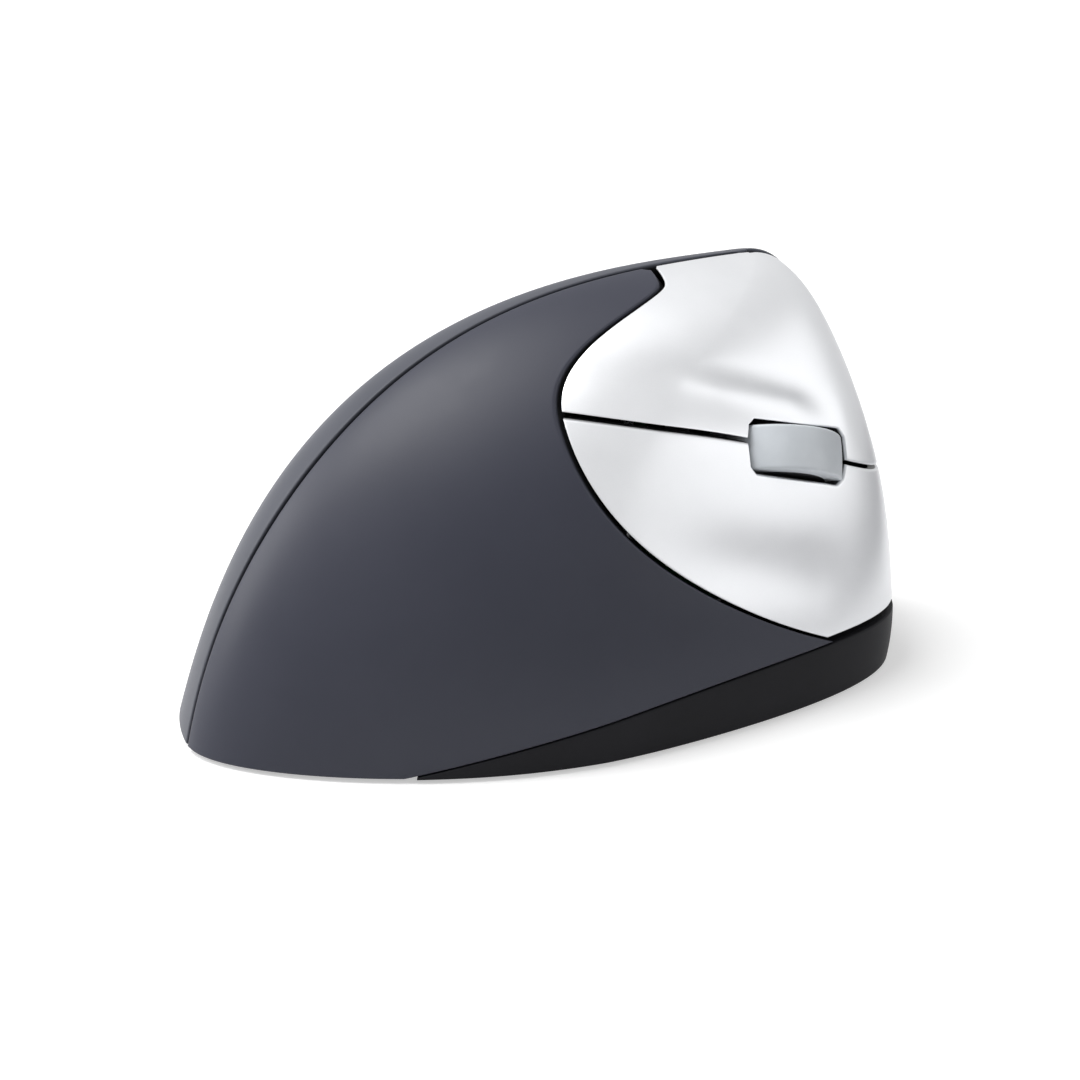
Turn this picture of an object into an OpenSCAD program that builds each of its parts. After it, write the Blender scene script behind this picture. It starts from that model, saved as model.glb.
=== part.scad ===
// Right-handed vertical mouse, cordless, with two finger keys, a wheel and two thumb buttons.
// +Y points to the front, +X to the finger side, +Z up; the origin is on the desk, mid-footprint.
// All sizes are in millimetres.

/* [Body] */
// Overall length of the body
body_l = 116; // [108:1:124]
// Overall width at the foot
body_w = 69; // [65:1:74]
// Height of the crest above the desk
body_h = 63; // [58:1:68]
// Wall thickness of the two shells
wall = 2; // [1.8:0.1:2.2]
// Width of the parting line along the crest
seam_gap = 0.5; // [0.4:0.1:0.7]
// Height of the base rim at its highest point
rim_h = 9.5; // [8:0.1:10]
// Extra reach of the thumb flare at the foot
flare_w = 13; // [10:0.5:16]

/* [Keys] */
// Thickness of the two finger keys
key_t = 1.6; // [1.4:0.1:1.8]
// Gap between the keys and the palm shell, measured along the length
key_gap = 0.9; // [0.8:0.1:1.2]
// Gap along the split between the two keys
split_gap = 0.9; // [0.8:0.1:1.2]
// Depth of the index finger groove
index_groove = 2.2; // [1.4:0.1:2.4]
// Depth of the middle finger groove
middle_groove = 0.9; // [0.4:0.1:1.2]
// Diameter of the pin that both keys turn on
hinge_d = 2; // [1.8:0.1:2.2]

/* [Wheel] */
// Diameter over the tyre
wheel_d = 22; // [21:0.1:22.6]
// Width of the tyre
wheel_w = 7; // [6:0.1:7.2]
// Length of the slot for the wheel
slot_l = 18.8; // [17:0.2:19]
// Width of the slot for the wheel
slot_w = 8.8; // [8.4:0.1:9.2]
// Diameter of the wheel axle
axle_d = 3; // [2.6:0.1:3.2]

/* [Inside] */
// Thickness of the circuit boards
board_t = 1.6; // [1.2:0.1:1.6]
// Diameter of the cell
cell_d = 14.4; // [14:0.1:14.5]
// Length of the cell body without its nub
cell_l = 49; // [47:0.5:50]
// Thickness of the base floor
floor_t = 2.2; // [2:0.1:2.4]
// Diameter of the glide feet
foot_d = 8; // [7:0.5:9]
// Radial clearance of every turning fit
run_clear = 0.06; // [0.03:0.01:0.09]
// Clearance around sliding and seated pieces
slide_clear = 0.3; // [0.25:0.05:0.35]

/* [Hidden] */
$fn = 48;

// Shape of the body: crest peak, depth of the crest curve below the desk and its power
top_y = 39.5;
crest_sink = 40;
crest_n = 2.6;
// Sideways place of the crest seam: at the foot, its lean and its bow
seam_foot = 7.5;
seam_lean = 6.5;
seam_bow = 9;
nose_foot = -4;
// Height of the lowest shell edge above the desk, held up by the glide feet
foot_lift = 0.7;
foot_f = foot_lift / body_h;
// Thumb side: half grip thickness and what is left for the ledge at the foot
grip_w = 18.5;
ledge_w = (body_w / 2 + seam_foot - seam_lean * foot_f - grip_w) / pow(1 - foot_f, 3) - flare_w;
// Powers that set how square the front corners are, and how far the sides close in
corner_r = 6;
corner_l = 4;
taper_r = 0.32;
taper_l = 0.3;
rear_r = -0.22;
rear_l = 0.45;
// Inward draft of the foot at the front
draft = 1.2;
draft_h = 10;
// The top edge stops this far below the very peak, where all slices meet
peak_cut = 0.004;

// Base rim: place of its high point and half length of its arc
rim_y = 40;
rim_reach = 71;
rim_from = -29;
rim_cols = 80;
rim_gap = 0.3;
key_foot_gap = 1.3;
crest_gap = 0.45;
nose_gap = 1.2;
// Key outline: vertex of the border against the palm shell, and where it meets the crest
vertex_z = body_h * 48 / 63;
vertex_y = -0.2;
border_cap = 23.4;
// Split line height at mid-length
split_0 = body_h * 50 / 63;
// Finger grooves: distance from the split, half width, where they start and run out, and over which lengths
index_groove_at = 4.8;
index_groove_half = 3.68;
middle_groove_at = 19;
middle_groove_half = 6;
groove_from = 4;
groove_run = 22;
groove_to = 38;
groove_fade = 10;

// Finger frame: X out of the key face, Y forward along the wheel slot, Z along the wheel axle
finger_y = 38;
finger_z = body_h * 39.6 / 63;
finger_turn = 17;
finger_tilt = 30;
finger_roll = 20;
wheel_x = -7.7;
hinge_x = -10;
hinge_y = -25;
lug_r = 2.4;
lug_in = 3.4;
lug_in_gap = 1.6;
lug_out = 2.4;
lug_out_gap = 0.6;
slot_chamfer = 1.2;
cradle_x = -12.5;
cradle_y = -15.7;
finger_board_x = -14.4;
plate_x = -19;
plate_t = 2;
press_y = 3;
index_press_z = 14.6;
switch_size = [6.4, 12.8, 5.8];
plunger_r = 1.2;
plunger_top = 0.7;
post_tip_r = 1.6;
tact_size = [3.4, 4.4, 4.4];
tact_at = [10, -11.1];
tact_tip = 0.9;
tact_tip_r = 1.1;
cheek_z = wheel_w / 2 + 0.5;
cheek_t = 1.6;
cheek_r = 3.2;
encoder_size = [4, 10, 3.6];
finger_w = 2.2;
click_x = finger_board_x + tact_size[0] + tact_tip + 0.5;
hub_r = wheel_d / 2 - 2.8;
plate_y = [-28, 10.5];
plate_top = 17.4;
tab_y = -6;
tab_top = 24;
finger_board_y = [-22.2, 13];
finger_board_top = 17.8;
board_gap = [-8.7, 10.8];
board_gap_y = -18.6;
hinge_post_z = 9.4;
hinge_post_t = 2.8;
hinge_post_low = hinge_post_z - hinge_post_t / 2;
hinge_post_high = hinge_post_z + hinge_post_t / 2;
hinge_pin_l = 33.2;
cradle_post_z = 7.1;
cradle_post_t = 2.4;
cradle_pin_r = 1;
cradle_pin_l = 16.6;
cradle_arm = 2.3;
cable_off = 0.9;
cable_w = 6;
cable_t = 0.6;
cable_from = -7;
cable_up = 1;
cable_drop = 7;
cable_lead = 6;
cable_in = 1.5;
cable_along = 8;

// Base: the glide feet are let into it by foot_sink, posts carry the shells and the chassis
foot_sink = 0.3;
floor_z = foot_lift + floor_t;
post_z = 9.2;
post_r = 3.2;
post_hole_r = 1.25;
case_shaft_r = 1.2;
case_shaft_l = 13;
case_head_r = 2.4;
case_head_t = 1;
case_head_z = 0.9;
boss_z = 16;
rib_z = 13;
palm_posts_y = [-27, 16];
thumb_posts_y = [-24, 24];
arch_post = [5.2, -46.5];
foot_spots = [[18.5, 43], [-12, 46.5], [17, -38], [-20, -10], [-5, -46]];

// Power cell and its bay
cell_x = -1.5;
cell_y0 = -35.2;
cell_z = floor_z + 0.1 + cell_d / 2;
nub_l = 1.2;
nub_r = 2.7;
spring_r = 4.4;
spring_taper = 2;
spring_wire = 0.4;
spring_seat = 5;
contact_half = 4.5;
contact_low = 5;
contact_high = 4;
contact_t = 0.6;
bay_side = cell_d / 2 + slide_clear;
bay_t = 2;
bay_y0 = cell_y0 - 3.6;
bay_y1 = cell_y0 + cell_l + nub_l + contact_t;
bay_top = 12;
door_x = 8.9;
door_t = 1.5;
door_z = 0.8;

// Main board and what stands on it
main_y = [19.5, 46];
main_z = 7.4;
main_screw_in = 2.5;
board_shaft_r = 0.9;
board_head_r = 1.8;
board_head_t = 1.1;
board_shaft_l = 5;
board_post_r = 2.4;
sensor_at = [-3.5, 34.5];
sensor_size = [10, 11.4, 2.6];
sensor_eye_r = 2.6;
sensor_hole_r = 4.5;
lens_size = [14, 12, 2];
lens_r = 2.2;
chip_in = 1.1;
chip_room = 0.3;
chip_size = [7, 6, 1];
power_at = [-7, 23.5];
power_size = [4, 8.6, 3.4];
power_slot = [3, 6.6];
knob_size = [2.4, 3.2];

// Thumb buttons: angle range on the body and height range along the shell rows
thumb_cols_n = 32;
forward_cols = [13, 16];
back_cols = [17, 20];
thumb_rows = [0, 0.09, 0.19, 0.29, 0.38, 0.45, 0.525, 0.6, 0.67, 0.74, 0.8, 0.86, 0.91, 0.95, 0.98, 0.995, 1];
button_rows = [6, 8];
button_proud = 0.9;
button_t = 1.3;
button_gap_u = 0.007;
button_gap_v = 0.012;
thumb_board_x = -11.2;
thumb_tact = [2, 4.4, 4.4];
thumb_tip = 0.6;
thumb_travel = 0.6;
thumb_board_h = 10;
thumb_board_end = 3;

function clamp01(v) = min(max(v, 0), 1);
function ease(v) = let(k = clamp01(v)) k * k * (3 - 2 * k);
function lift(z, s) = clamp01(z / (body_h - s));

// Sideways place of the crest seam and of the nose seam at a height fraction
function seam_x(f) = seam_foot - seam_lean * f - seam_bow * f * f;
function nose_x(f) = nose_foot + (seam_x(1) - nose_foot) * f * f;
function widest_y(f) = top_y * pow(f, 3.5);

// Side view: rear edge and front edge of the slice at height z, drawn in by s
function crest_rise(s) = body_h - s + crest_sink;
function crest_span(s) =
    (top_y + body_l / 2 - s) / pow(1 - pow(crest_sink / crest_rise(s), crest_n), 1 / crest_n);
function crest_y(z, s) =
    top_y - crest_span(s) * pow(max(0, 1 - pow((z + crest_sink) / crest_rise(s), crest_n)), 1 / crest_n);
function crest_z(y, s) =
    crest_rise(s) * pow(1 - pow((top_y - y) / crest_span(s), crest_n), 1 / crest_n) - crest_sink;
function nose_y(z, s) =
    top_y + (body_l / 2 - top_y - s) * sqrt(max(0, 1 - pow(lift(z, s), 2)))
    - draft * pow(max(0, 1 - z / draft_h), 2);

// Front view: reach of the finger side and of the thumb side
function right_reach(f, s) =
    max(seam_x(f), seam_x(1) + (body_w / 2 - s - seam_x(1)) * sqrt(1 - pow(f, 1.75)));
function left_reach(f, s) =
    seam_x(f) - (grip_w - s) * sqrt(1 - pow(f, 3)) - flare_w * pow(1 - f, 3);

// Split line between the keys, border against the palm shell, and top edge of the base rim
function split_z(y) = split_0 - 0.12 * y - 0.0038 * y * y;
function border_y(z) =
    let(d = z - vertex_z,
        y = vertex_y + (d < 0 ? 0.05 * pow(-d, 1.85) : 0.0345 * pow(d, 2.5)),
        over = y - border_cap)
    d < 0 ? y : (y + border_cap - sqrt(over * over + 3)) / 2;
function rim_z(y) = rim_h * (1 - pow((y - rim_y) / rim_reach, 2));

// Finger grooves above and below the split line, fading in along the keys and out before the nose
function groove(y, z) =
    let(d = z - split_z(y))
    ease((y - groove_from) / groove_run) * (1 - ease((y - groove_to) / groove_fade))
    * (index_groove * exp(-pow((d - index_groove_at) / index_groove_half, 2))
       + middle_groove * exp(-pow((d + middle_groove_at) / middle_groove_half, 2)));

// Point of the body at angle t of the slice at height z, drawn in by s.
// -90 is the rear seam, 0 the finger side, 90 the nose, 180 the thumb side.
function skin(t, z, s) =
    let(f = lift(z, s),
        c = abs(cos(t)),
        q = abs(sin(t)),
        front = sin(t) >= 0,
        right = cos(t) >= 0,
        n = right ? corner_r : corner_l,
        r = pow(pow(c, n) + pow(q, n), -1 / n),
        end = front ? q * r : q,
        side = front ? c * r * (1 - (right ? taper_r : taper_l) * pow(end, 1.5))
                     : c * (1 + (right ? rear_r : rear_l) * q * q),
        m = widest_y(f),
        y = m + ((front ? nose_y(z, s) : crest_y(z, s)) - m) * end,
        xe = front ? nose_x(f) : seam_x(f),
        x = right ? xe + (right_reach(f, s) - xe - groove(y, z)) * side
                  : xe + (left_reach(f, s) - xe) * side
                    - ledge_w * pow(1 - f, 3) * pow(max(0, 1 - end * end), 2))
    [x, y, z];

// Angle at which the slice at height z reaches y, on the finger side and on the thumb side
function end_share(y, z) =
    let(m = widest_y(lift(z, 0)))
    clamp01(y < m ? (m - y) / (m - crest_y(z, 0)) : (y - m) / (nose_y(z, 0) - m));
function is_rear(y, z) = y < widest_y(lift(z, 0));
function corner_angle(k, n) = atan2(k, pow(1 - pow(k, n), 1 / n));
function right_angle(y, z) =
    let(k = end_share(y, z)) is_rear(y, z) ? -asin(k) : corner_angle(k, corner_r);
function left_angle(y, z) =
    let(k = end_share(y, z)) is_rear(y, z) ? 180 + asin(k) : 180 - corner_angle(k, corner_l);
function right_x(y, z, s) = skin(right_angle(y, z), z, s)[0];
function left_x(y, z, s) = skin(left_angle(y, z), z, s)[0];

// Angles that leave a gap d beside the crest seam and beside the nose seam
function gap_angle(d, reach) = asin(min(0.9, d / max(0.01, reach)));
function rear_right(z, d) =
    let(f = lift(z, 0)) -90 + gap_angle(d, (1 + rear_r) * (right_reach(f, 0) - seam_x(f)));
function rear_left(z, d) =
    let(f = lift(z, 0)) 270 - gap_angle(d, (1 + rear_l) * (seam_x(f) - left_reach(f, 0)));
function nose_right(z, d) =
    let(f = lift(z, 0)) 90 - gap_angle(d, (1 - taper_r) * (right_reach(f, 0) - nose_x(f)));
function nose_left(z, d) =
    let(f = lift(z, 0)) 90 + gap_angle(d, (1 - taper_l) * (nose_x(f) - left_reach(f, 0)));

// Height of a line on the body as seen at angle t
function split_at(t) =
    let(a = split_z(skin(t, split_0 - 6, 0)[1]), b = split_z(skin(t, a, 0)[1]))
    split_z(skin(t, b, 0)[1]);
function rim_at(t) = rim_z(skin(t, rim_h / 2, 0)[1]);

// A panel spans from angle left to right and from height low to high; u and v run over it
function settle(left, right, low, high, u, v, t, turns) =
    let(z = low(t) + (high(t) - low(t)) * v)
    turns == 0 ? [t, z]
               : settle(left, right, low, high, u, v, left(z) + (right(z) - left(z)) * u, turns - 1);
function panel(left, right, low, high, us, vs) =
    [for (v = vs) for (u = us) settle(left, right, low, high, u, v, (left(20) + right(20)) / 2, 12)];
function drawn_in(spots, s) =
    [for (p = spots) skin(p[0], p[1] - s * pow(lift(p[1], 0), 6), s)];
function even(n) = [for (i = [0 : n]) i / n];
function crowded(n, p) = [for (i = [0 : n]) 1 - pow(1 - i / n, p)];

// Closed sheet between two grids of points; cells in a hole are left out and their edges closed
module sheet(outer, inner, nu, nv, holes = []) {
    count = (nu + 1) * (nv + 1);
    function kept(i, j) =
        i >= 0 && j >= 0 && i < nu && j < nv
        && len([for (h = holes) if (i >= h[0] && i < h[1] && j >= h[2] && j < h[3]) 1]) == 0;
    function id(i, j) = j * (nu + 1) + i;
    function rim(a, b) = [[a, b, b + count], [a, b + count, a + count]];
    faces = [for (j = [0 : nv - 1]) for (i = [0 : nu - 1]) if (kept(i, j))
        let(a = id(i, j), b = id(i + 1, j), c = id(i + 1, j + 1), d = id(i, j + 1))
        each concat(
            [[a, d, c], [a, c, b], [a + count, c + count, d + count], [a + count, b + count, c + count]],
            kept(i, j - 1) ? [] : rim(a, b),
            kept(i + 1, j) ? [] : rim(b, c),
            kept(i, j + 1) ? [] : rim(c, d),
            kept(i - 1, j) ? [] : rim(d, a))];
    polyhedron(points = concat(outer, inner), faces = faces, convexity = 8);
}

// Finger frame directions and placing
finger_o = [right_x(finger_y, finger_z, 0), finger_y, finger_z];
finger_n = [cos(finger_tilt) * cos(finger_turn), cos(finger_tilt) * sin(finger_turn), sin(finger_tilt)];
finger_h = [-sin(finger_turn), cos(finger_turn), 0];
finger_l = cos(finger_roll) * finger_h - sin(finger_roll) * cross(finger_n, finger_h);
finger_u = cross(finger_n, finger_l);
function finger_pt(p) = finger_o + p[0] * finger_n + p[1] * finger_l + p[2] * finger_u;
// The plate ends just above the base posts; the lower switch, screw and legs stand on its low edge
plate_low = (post_z + slide_clear - finger_pt([plate_x - plate_t, plate_y[1], 0])[2]) / finger_u[2];
middle_press_z = plate_low + 3.8;
finger_board_low = plate_low - 0.7;
finger_screws = [[-13, 14.8], [9.4, 14.8], [-13, plate_low + 5.3]];
legs = [for (y = [-20, 8]) finger_pt([plate_x - plate_t / 2, y, plate_low + 2.8])];

// Depth of the body surface below the finger frame's origin plane
function skin_depth(y, z, x = 0, turns = 8) =
    let(p = finger_pt([x, y, z]))
    turns == 0 ? x : skin_depth(y, z, x + 0.8 * (right_x(p[1], p[2], 0) - p[0]), turns - 1);

module finger() {
    translate(finger_o)
        rotate([-finger_roll, -finger_tilt, finger_turn])
            children();
}

module block(low, high) {
    translate(low)
        cube(high - low);
}

// Rods along X and along Y from a start point
module rod_x(at, r, h) {
    translate(at)
        rotate([0, 90, 0])
            cylinder(r = r, h = h);
}

module rod_y(at, r, h) {
    translate(at)
        rotate([-90, 0, 0])
            cylinder(r = r, h = h);
}

module rod_z(at, r, h) {
    translate(at)
        cylinder(r = r, h = h);
}

// Places of the posts for the shells, the arch and the chassis legs
palm_posts = [for (y = palm_posts_y) [right_x(y, boss_z, wall) - post_r, y]];
thumb_posts = [for (y = thumb_posts_y) [left_x(y, boss_z, wall) + post_r, y]];
leg_posts = [[legs[0][0], legs[0][1]], [legs[1][0], legs[1][1]], arch_post];
all_posts = concat(palm_posts, thumb_posts, leg_posts);
main_x = [thumb_posts[1][0] + post_r + slide_clear, legs[1][0] - post_r - slide_clear];
main_screws = [[main_x[1] - main_screw_in, main_y[0] + main_screw_in],
               [main_x[0] + main_screw_in, main_y[1] - main_screw_in],
               [main_x[1] - main_screw_in, main_y[1] - main_screw_in]];
// The chip lies beside the head of the first screw
chip_at = [main_screws[0][0] - board_head_r - chip_room - chip_size[0], main_y[0] + chip_in];

// Outline of the floor: under the rim at the front, inside the shell walls at the rear
function floor_inset(y) = let(k = ease((y + 16) / 4)) wall / 2 * k + (wall + slide_clear) * (1 - k);
function floor_pt(t) = let(y = skin(t, floor_z, 0)[1], p = skin(t, floor_z, floor_inset(y))) [p[0], p[1]];

module base_rim() {
    us = even(rim_cols);
    spots = [for (v = [0, 0.5, 1]) for (u = us)
        let(t = rim_from + (180 - 2 * rim_from) * u) [t, foot_lift + (rim_at(t) - foot_lift) * v]];
    sheet(drawn_in(spots, 0), drawn_in(spots, wall + 1), rim_cols, 2);
}

module door_opening(clear) {
    block([cell_x - door_x - clear, bay_y0 - clear, 0], [cell_x + door_x + clear, bay_y1 + clear, floor_z + 1]);
}

module base_plate() {
    color([0.10, 0.10, 0.11])
    difference() {
        union() {
            translate([0, 0, foot_lift])
                linear_extrude(floor_t)
                    polygon([for (t = [-90 : 5 : 265]) floor_pt(t)]);
            base_rim();
            for (p = all_posts)
                rod_z([p[0], p[1], foot_lift], post_r, post_z - foot_lift);
            for (p = main_screws)
                rod_z([p[0], p[1], foot_lift], board_post_r, main_z - foot_lift);
            for (k = [-1, 1])
                translate([cell_x + k * (bay_side + bay_t / 2) - bay_t / 2, bay_y0 - bay_t, foot_lift])
                    cube([bay_t, bay_y1 - bay_y0 + 2 * bay_t, bay_top - foot_lift]);
            for (y = [bay_y0 - bay_t, bay_y1])
                translate([cell_x - bay_side - bay_t, y, foot_lift])
                    cube([2 * bay_side + 2 * bay_t, bay_t, bay_top - foot_lift]);
        }
        intersection() {
            door_opening(slide_clear);
            block([-50, -70, 0], [50, 70, floor_z]);
        }
        for (p = all_posts) {
            rod_z([p[0], p[1], 0], case_head_r + slide_clear, case_head_z + case_head_t);
            rod_z([p[0], p[1], 0], post_hole_r, post_z + 1);
        }
        for (p = main_screws)
            rod_z([p[0], p[1], floor_z], board_shaft_r + 0.05, post_z);
        for (p = foot_spots)
            rod_z([p[0], p[1], 0], foot_d / 2 + 0.1, foot_lift + foot_sink);
        rod_z([sensor_at[0], sensor_at[1], 0], sensor_hole_r, floor_z + 1);
        translate([power_at[0] - power_slot[0] / 2, power_at[1] - power_slot[1] / 2, 0])
            cube([power_slot[0], power_slot[1], floor_z + 1]);
    }
}

module battery_door() {
    color([0.12, 0.12, 0.13])
    difference() {
        block([cell_x - door_x, bay_y0, door_z], [cell_x + door_x, bay_y1, door_z + door_t]);
        for (k = [0 : 3])
            translate([cell_x - 4, bay_y1 - 5 - 2 * k, 0])
                cube([8, 1, door_z + 0.4]);
    }
}

module glide_feet() {
    color([0.75, 0.75, 0.76])
    for (p = foot_spots)
        rod_z([p[0], p[1], 0], foot_d / 2, foot_lift + foot_sink);
}

// Boss that stands on a base post, tied to the shell wall by a rib
module boss(p, wall_x) {
    x0 = min(p[0], wall_x);
    rod_z([p[0], p[1], post_z], post_r - 0.2, boss_z - post_z);
    block([x0, p[1] - 1, rib_z - 2], [max(p[0], wall_x), p[1] + 1, rib_z + 2]);
}

module boss_hole(p) {
    rod_z([p[0], p[1], 0], post_hole_r, case_shaft_l + 2.5);
}

module palm_shell() {
    us = even(20);
    vs = crowded(20, 1.9);
    spots = panel(function(z) rear_right(z, seam_gap / 2),
                  function(z) right_angle(border_y(z) - key_gap / 2, z),
                  function(t) max(foot_lift, rim_at(t) + rim_gap),
                  function(t) body_h - 0.45, us, vs);
    color([0.25, 0.26, 0.28])
    difference() {
        union() {
            sheet(drawn_in(spots, 0), drawn_in(spots, wall), 20, 20);
            for (p = palm_posts)
                boss(p, right_x(p[1], rib_z, wall * 0.8));
        }
        for (p = palm_posts)
            boss_hole(p);
    }
}

// The thumb side is one panel from the nose seam round to the rear seam
function thumb_left(z) = nose_left(z, nose_gap / 2);
function thumb_right(z) = rear_left(z, seam_gap / 2);
function thumb_low(t) = max(foot_lift, rim_at(t) + rim_gap);
function thumb_high(t) = body_h - peak_cut;

// Middle of each thumb button, where its post presses the switch on the thumb board
function thumb_spot(u, v) =
    let(p = settle(function(z) thumb_left(z), function(z) thumb_right(z),
                   function(t) thumb_low(t), function(t) thumb_high(t), u, v, 180, 12))
    skin(p[0], p[1], 0);
button_v = (thumb_rows[button_rows[0]] + thumb_rows[button_rows[1]]) / 2;
thumb_press = [for (c = [forward_cols, back_cols]) thumb_spot((c[0] + c[1]) / 2 / thumb_cols_n, button_v)];
thumb_board_z = (thumb_press[0][2] + thumb_press[1][2]) / 2;

// The screws of the thumb board stand clear of both buttons, and the board ends just past them
thumb_screws_y = [thumb_spot(back_cols[1] / thumb_cols_n, thumb_rows[button_rows[0]])[1] - board_post_r,
                  thumb_spot(forward_cols[0] / thumb_cols_n, thumb_rows[button_rows[1]])[1] + board_post_r];
thumb_board_y = [thumb_screws_y[0] - thumb_board_end, thumb_screws_y[1] + thumb_board_end];

module thumb_shell() {
    us = even(thumb_cols_n);
    nv = len(thumb_rows) - 1;
    spots = panel(function(z) thumb_left(z), function(z) thumb_right(z),
                  function(t) thumb_low(t), function(t) thumb_high(t), us, thumb_rows);
    holes = [[forward_cols[0], forward_cols[1], button_rows[0], button_rows[1]],
             [back_cols[0], back_cols[1], button_rows[0], button_rows[1]]];
    color([0.36, 0.38, 0.42])
    difference() {
        union() {
            sheet(drawn_in(spots, 0), drawn_in(spots, wall), thumb_cols_n, nv, holes);
            for (p = thumb_posts)
                boss(p, left_x(p[1], rib_z, wall * 0.8));
            for (y = thumb_screws_y)
                thumb_post(y);
        }
        for (p = thumb_posts)
            boss_hole(p);
        for (y = thumb_screws_y)
            rod_x([thumb_board_x - board_shaft_l + board_t, y, thumb_board_z], board_shaft_r + 0.05, board_shaft_l);
    }
}

module thumb_post(y) {
    x0 = left_x(y, thumb_board_z, wall * 0.8);
    rod_x([x0, y, thumb_board_z], board_post_r, thumb_board_x - x0);
}

module thumb_button(cols, press_y) {
    nu = 8;
    u0 = cols[0] / thumb_cols_n + button_gap_u;
    u1 = cols[1] / thumb_cols_n - button_gap_u;
    v0 = thumb_rows[button_rows[0]] + button_gap_v;
    v1 = thumb_rows[button_rows[1]] - button_gap_v;
    spots = panel(function(z) thumb_left(z), function(z) thumb_right(z),
                  function(t) thumb_low(t), function(t) thumb_high(t),
                  [for (k = even(nu)) u0 + (u1 - u0) * k], [for (k = even(4)) v0 + (v1 - v0) * k]);
    post_x = left_x(press_y, thumb_board_z, 0) + 0.4;
    post_end = thumb_board_x - thumb_tact[0] - thumb_tip - thumb_travel;
    color([0.10, 0.10, 0.11])
    union() {
        sheet(drawn_in(spots, -button_proud), drawn_in(spots, button_t), nu, 4);
        rod_x([post_x, press_y, thumb_board_z], post_tip_r, post_end - post_x);
    }
}

module thumb_forward_button() {
    thumb_button(forward_cols, thumb_press[0][1]);
}

module thumb_back_button() {
    thumb_button(back_cols, thumb_press[1][1]);
}

module thumb_board() {
    color([0.05, 0.32, 0.16])
    difference() {
        block([thumb_board_x, thumb_board_y[0], thumb_board_z - thumb_board_h / 2],
              [thumb_board_x + board_t, thumb_board_y[1], thumb_board_z + thumb_board_h / 2]);
        for (y = thumb_screws_y)
            rod_x([thumb_board_x - 1, y, thumb_board_z], board_shaft_r + 0.1, board_t + 2);
    }
}

module thumb_switch(y) {
    color([0.15, 0.15, 0.16])
    union() {
        block([thumb_board_x - thumb_tact[0], y - thumb_tact[1] / 2, thumb_board_z - thumb_tact[2] / 2],
              [thumb_board_x, y + thumb_tact[1] / 2, thumb_board_z + thumb_tact[2] / 2]);
        rod_x([thumb_board_x - thumb_tact[0] - thumb_tip, y, thumb_board_z], tact_tip_r, thumb_tip + 0.5);
    }
}

module thumb_forward_switch() {
    thumb_switch(thumb_press[0][1]);
}

module thumb_back_switch() {
    thumb_switch(thumb_press[1][1]);
}

// Wheel opening through the keys: a chamfered slot, with room for the tyre behind it
module wheel_slot() {
    c = slot_chamfer;
    a = slot_l / 2;
    b = slot_w / 2;
    finger() {
        translate([-6, 0, 0])
            rotate([90, 0, 90])
                linear_extrude(12)
                    polygon([[-a, c - b], [c - a, -b], [a - c, -b], [a, c - b],
                             [a, b - c], [a - c, b], [c - a, b], [-a, b - c]]);
        rod_z([wheel_x, 0, -wheel_w / 2 - slide_clear], wheel_d / 2 + 0.5, wheel_w + 2 * slide_clear);
    }
}

// Two lugs on the hinge pin and the post that meets the switch plunger, in the finger frame
module key_lug(z0, z1) {
    y0 = hinge_y - lug_r / 2;
    y1 = hinge_y + lug_r;
    top = min([for (y = [y0, y1]) for (z = [z0, z1]) skin_depth(y, z)]) - key_t / 2;
    rod_z([hinge_x, hinge_y, z0], lug_r, z1 - z0);
    block([hinge_x, y0, z0], [top, y1, z1]);
}

module key_post(z) {
    rod_x([press_x, press_y, z], post_tip_r, skin_depth(press_y, z) - key_t / 2 - press_x);
}

module hinge_bore() {
    finger()
        rod_z([hinge_x, hinge_y, -hinge_pin_l], hinge_d / 2 + run_clear, 2 * hinge_pin_l);
}

press_x = finger_board_x + switch_size[0] + plunger_top;

module index_button() {
    us = even(24);
    vs = crowded(16, 2.2);
    spots = panel(function(z) max(rear_right(z, crest_gap), right_angle(border_y(z) + key_gap / 2, z)),
                  function(z) nose_right(z, nose_gap / 2),
                  function(t) split_at(t) + split_gap / 2,
                  function(t) body_h - peak_cut, us, vs);
    color([0.82, 0.83, 0.85])
    difference() {
        union() {
            sheet(drawn_in(spots, 0), drawn_in(spots, key_t), 24, 16);
            finger() {
                key_lug(hinge_post_low - lug_in_gap - lug_in, hinge_post_low - lug_in_gap);
                key_lug(hinge_post_high + lug_out_gap, hinge_post_high + lug_out_gap + lug_out);
                key_post(index_press_z);
            }
        }
        wheel_slot();
        hinge_bore();
    }
}

module middle_button() {
    us = even(22);
    vs = even(14);
    spots = panel(function(z) right_angle(border_y(z) + key_gap / 2, z),
                  function(z) nose_right(z, nose_gap / 2),
                  function(t) rim_at(t) + key_foot_gap,
                  function(t) split_at(t) - split_gap / 2, us, vs);
    color([0.82, 0.83, 0.85])
    difference() {
        union() {
            sheet(drawn_in(spots, 0), drawn_in(spots, key_t), 22, 14);
            finger() {
                key_lug(lug_in_gap - hinge_post_low, lug_in_gap + lug_in - hinge_post_low);
                key_lug(-lug_out - lug_out_gap - hinge_post_high, -lug_out_gap - hinge_post_high);
                key_post(middle_press_z);
            }
        }
        wheel_slot();
        hinge_bore();
    }
}

module key_hinge_pin() {
    color([0.70, 0.71, 0.72])
    finger()
        rod_z([hinge_x, hinge_y, -hinge_pin_l / 2], hinge_d / 2, hinge_pin_l);
}

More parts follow.
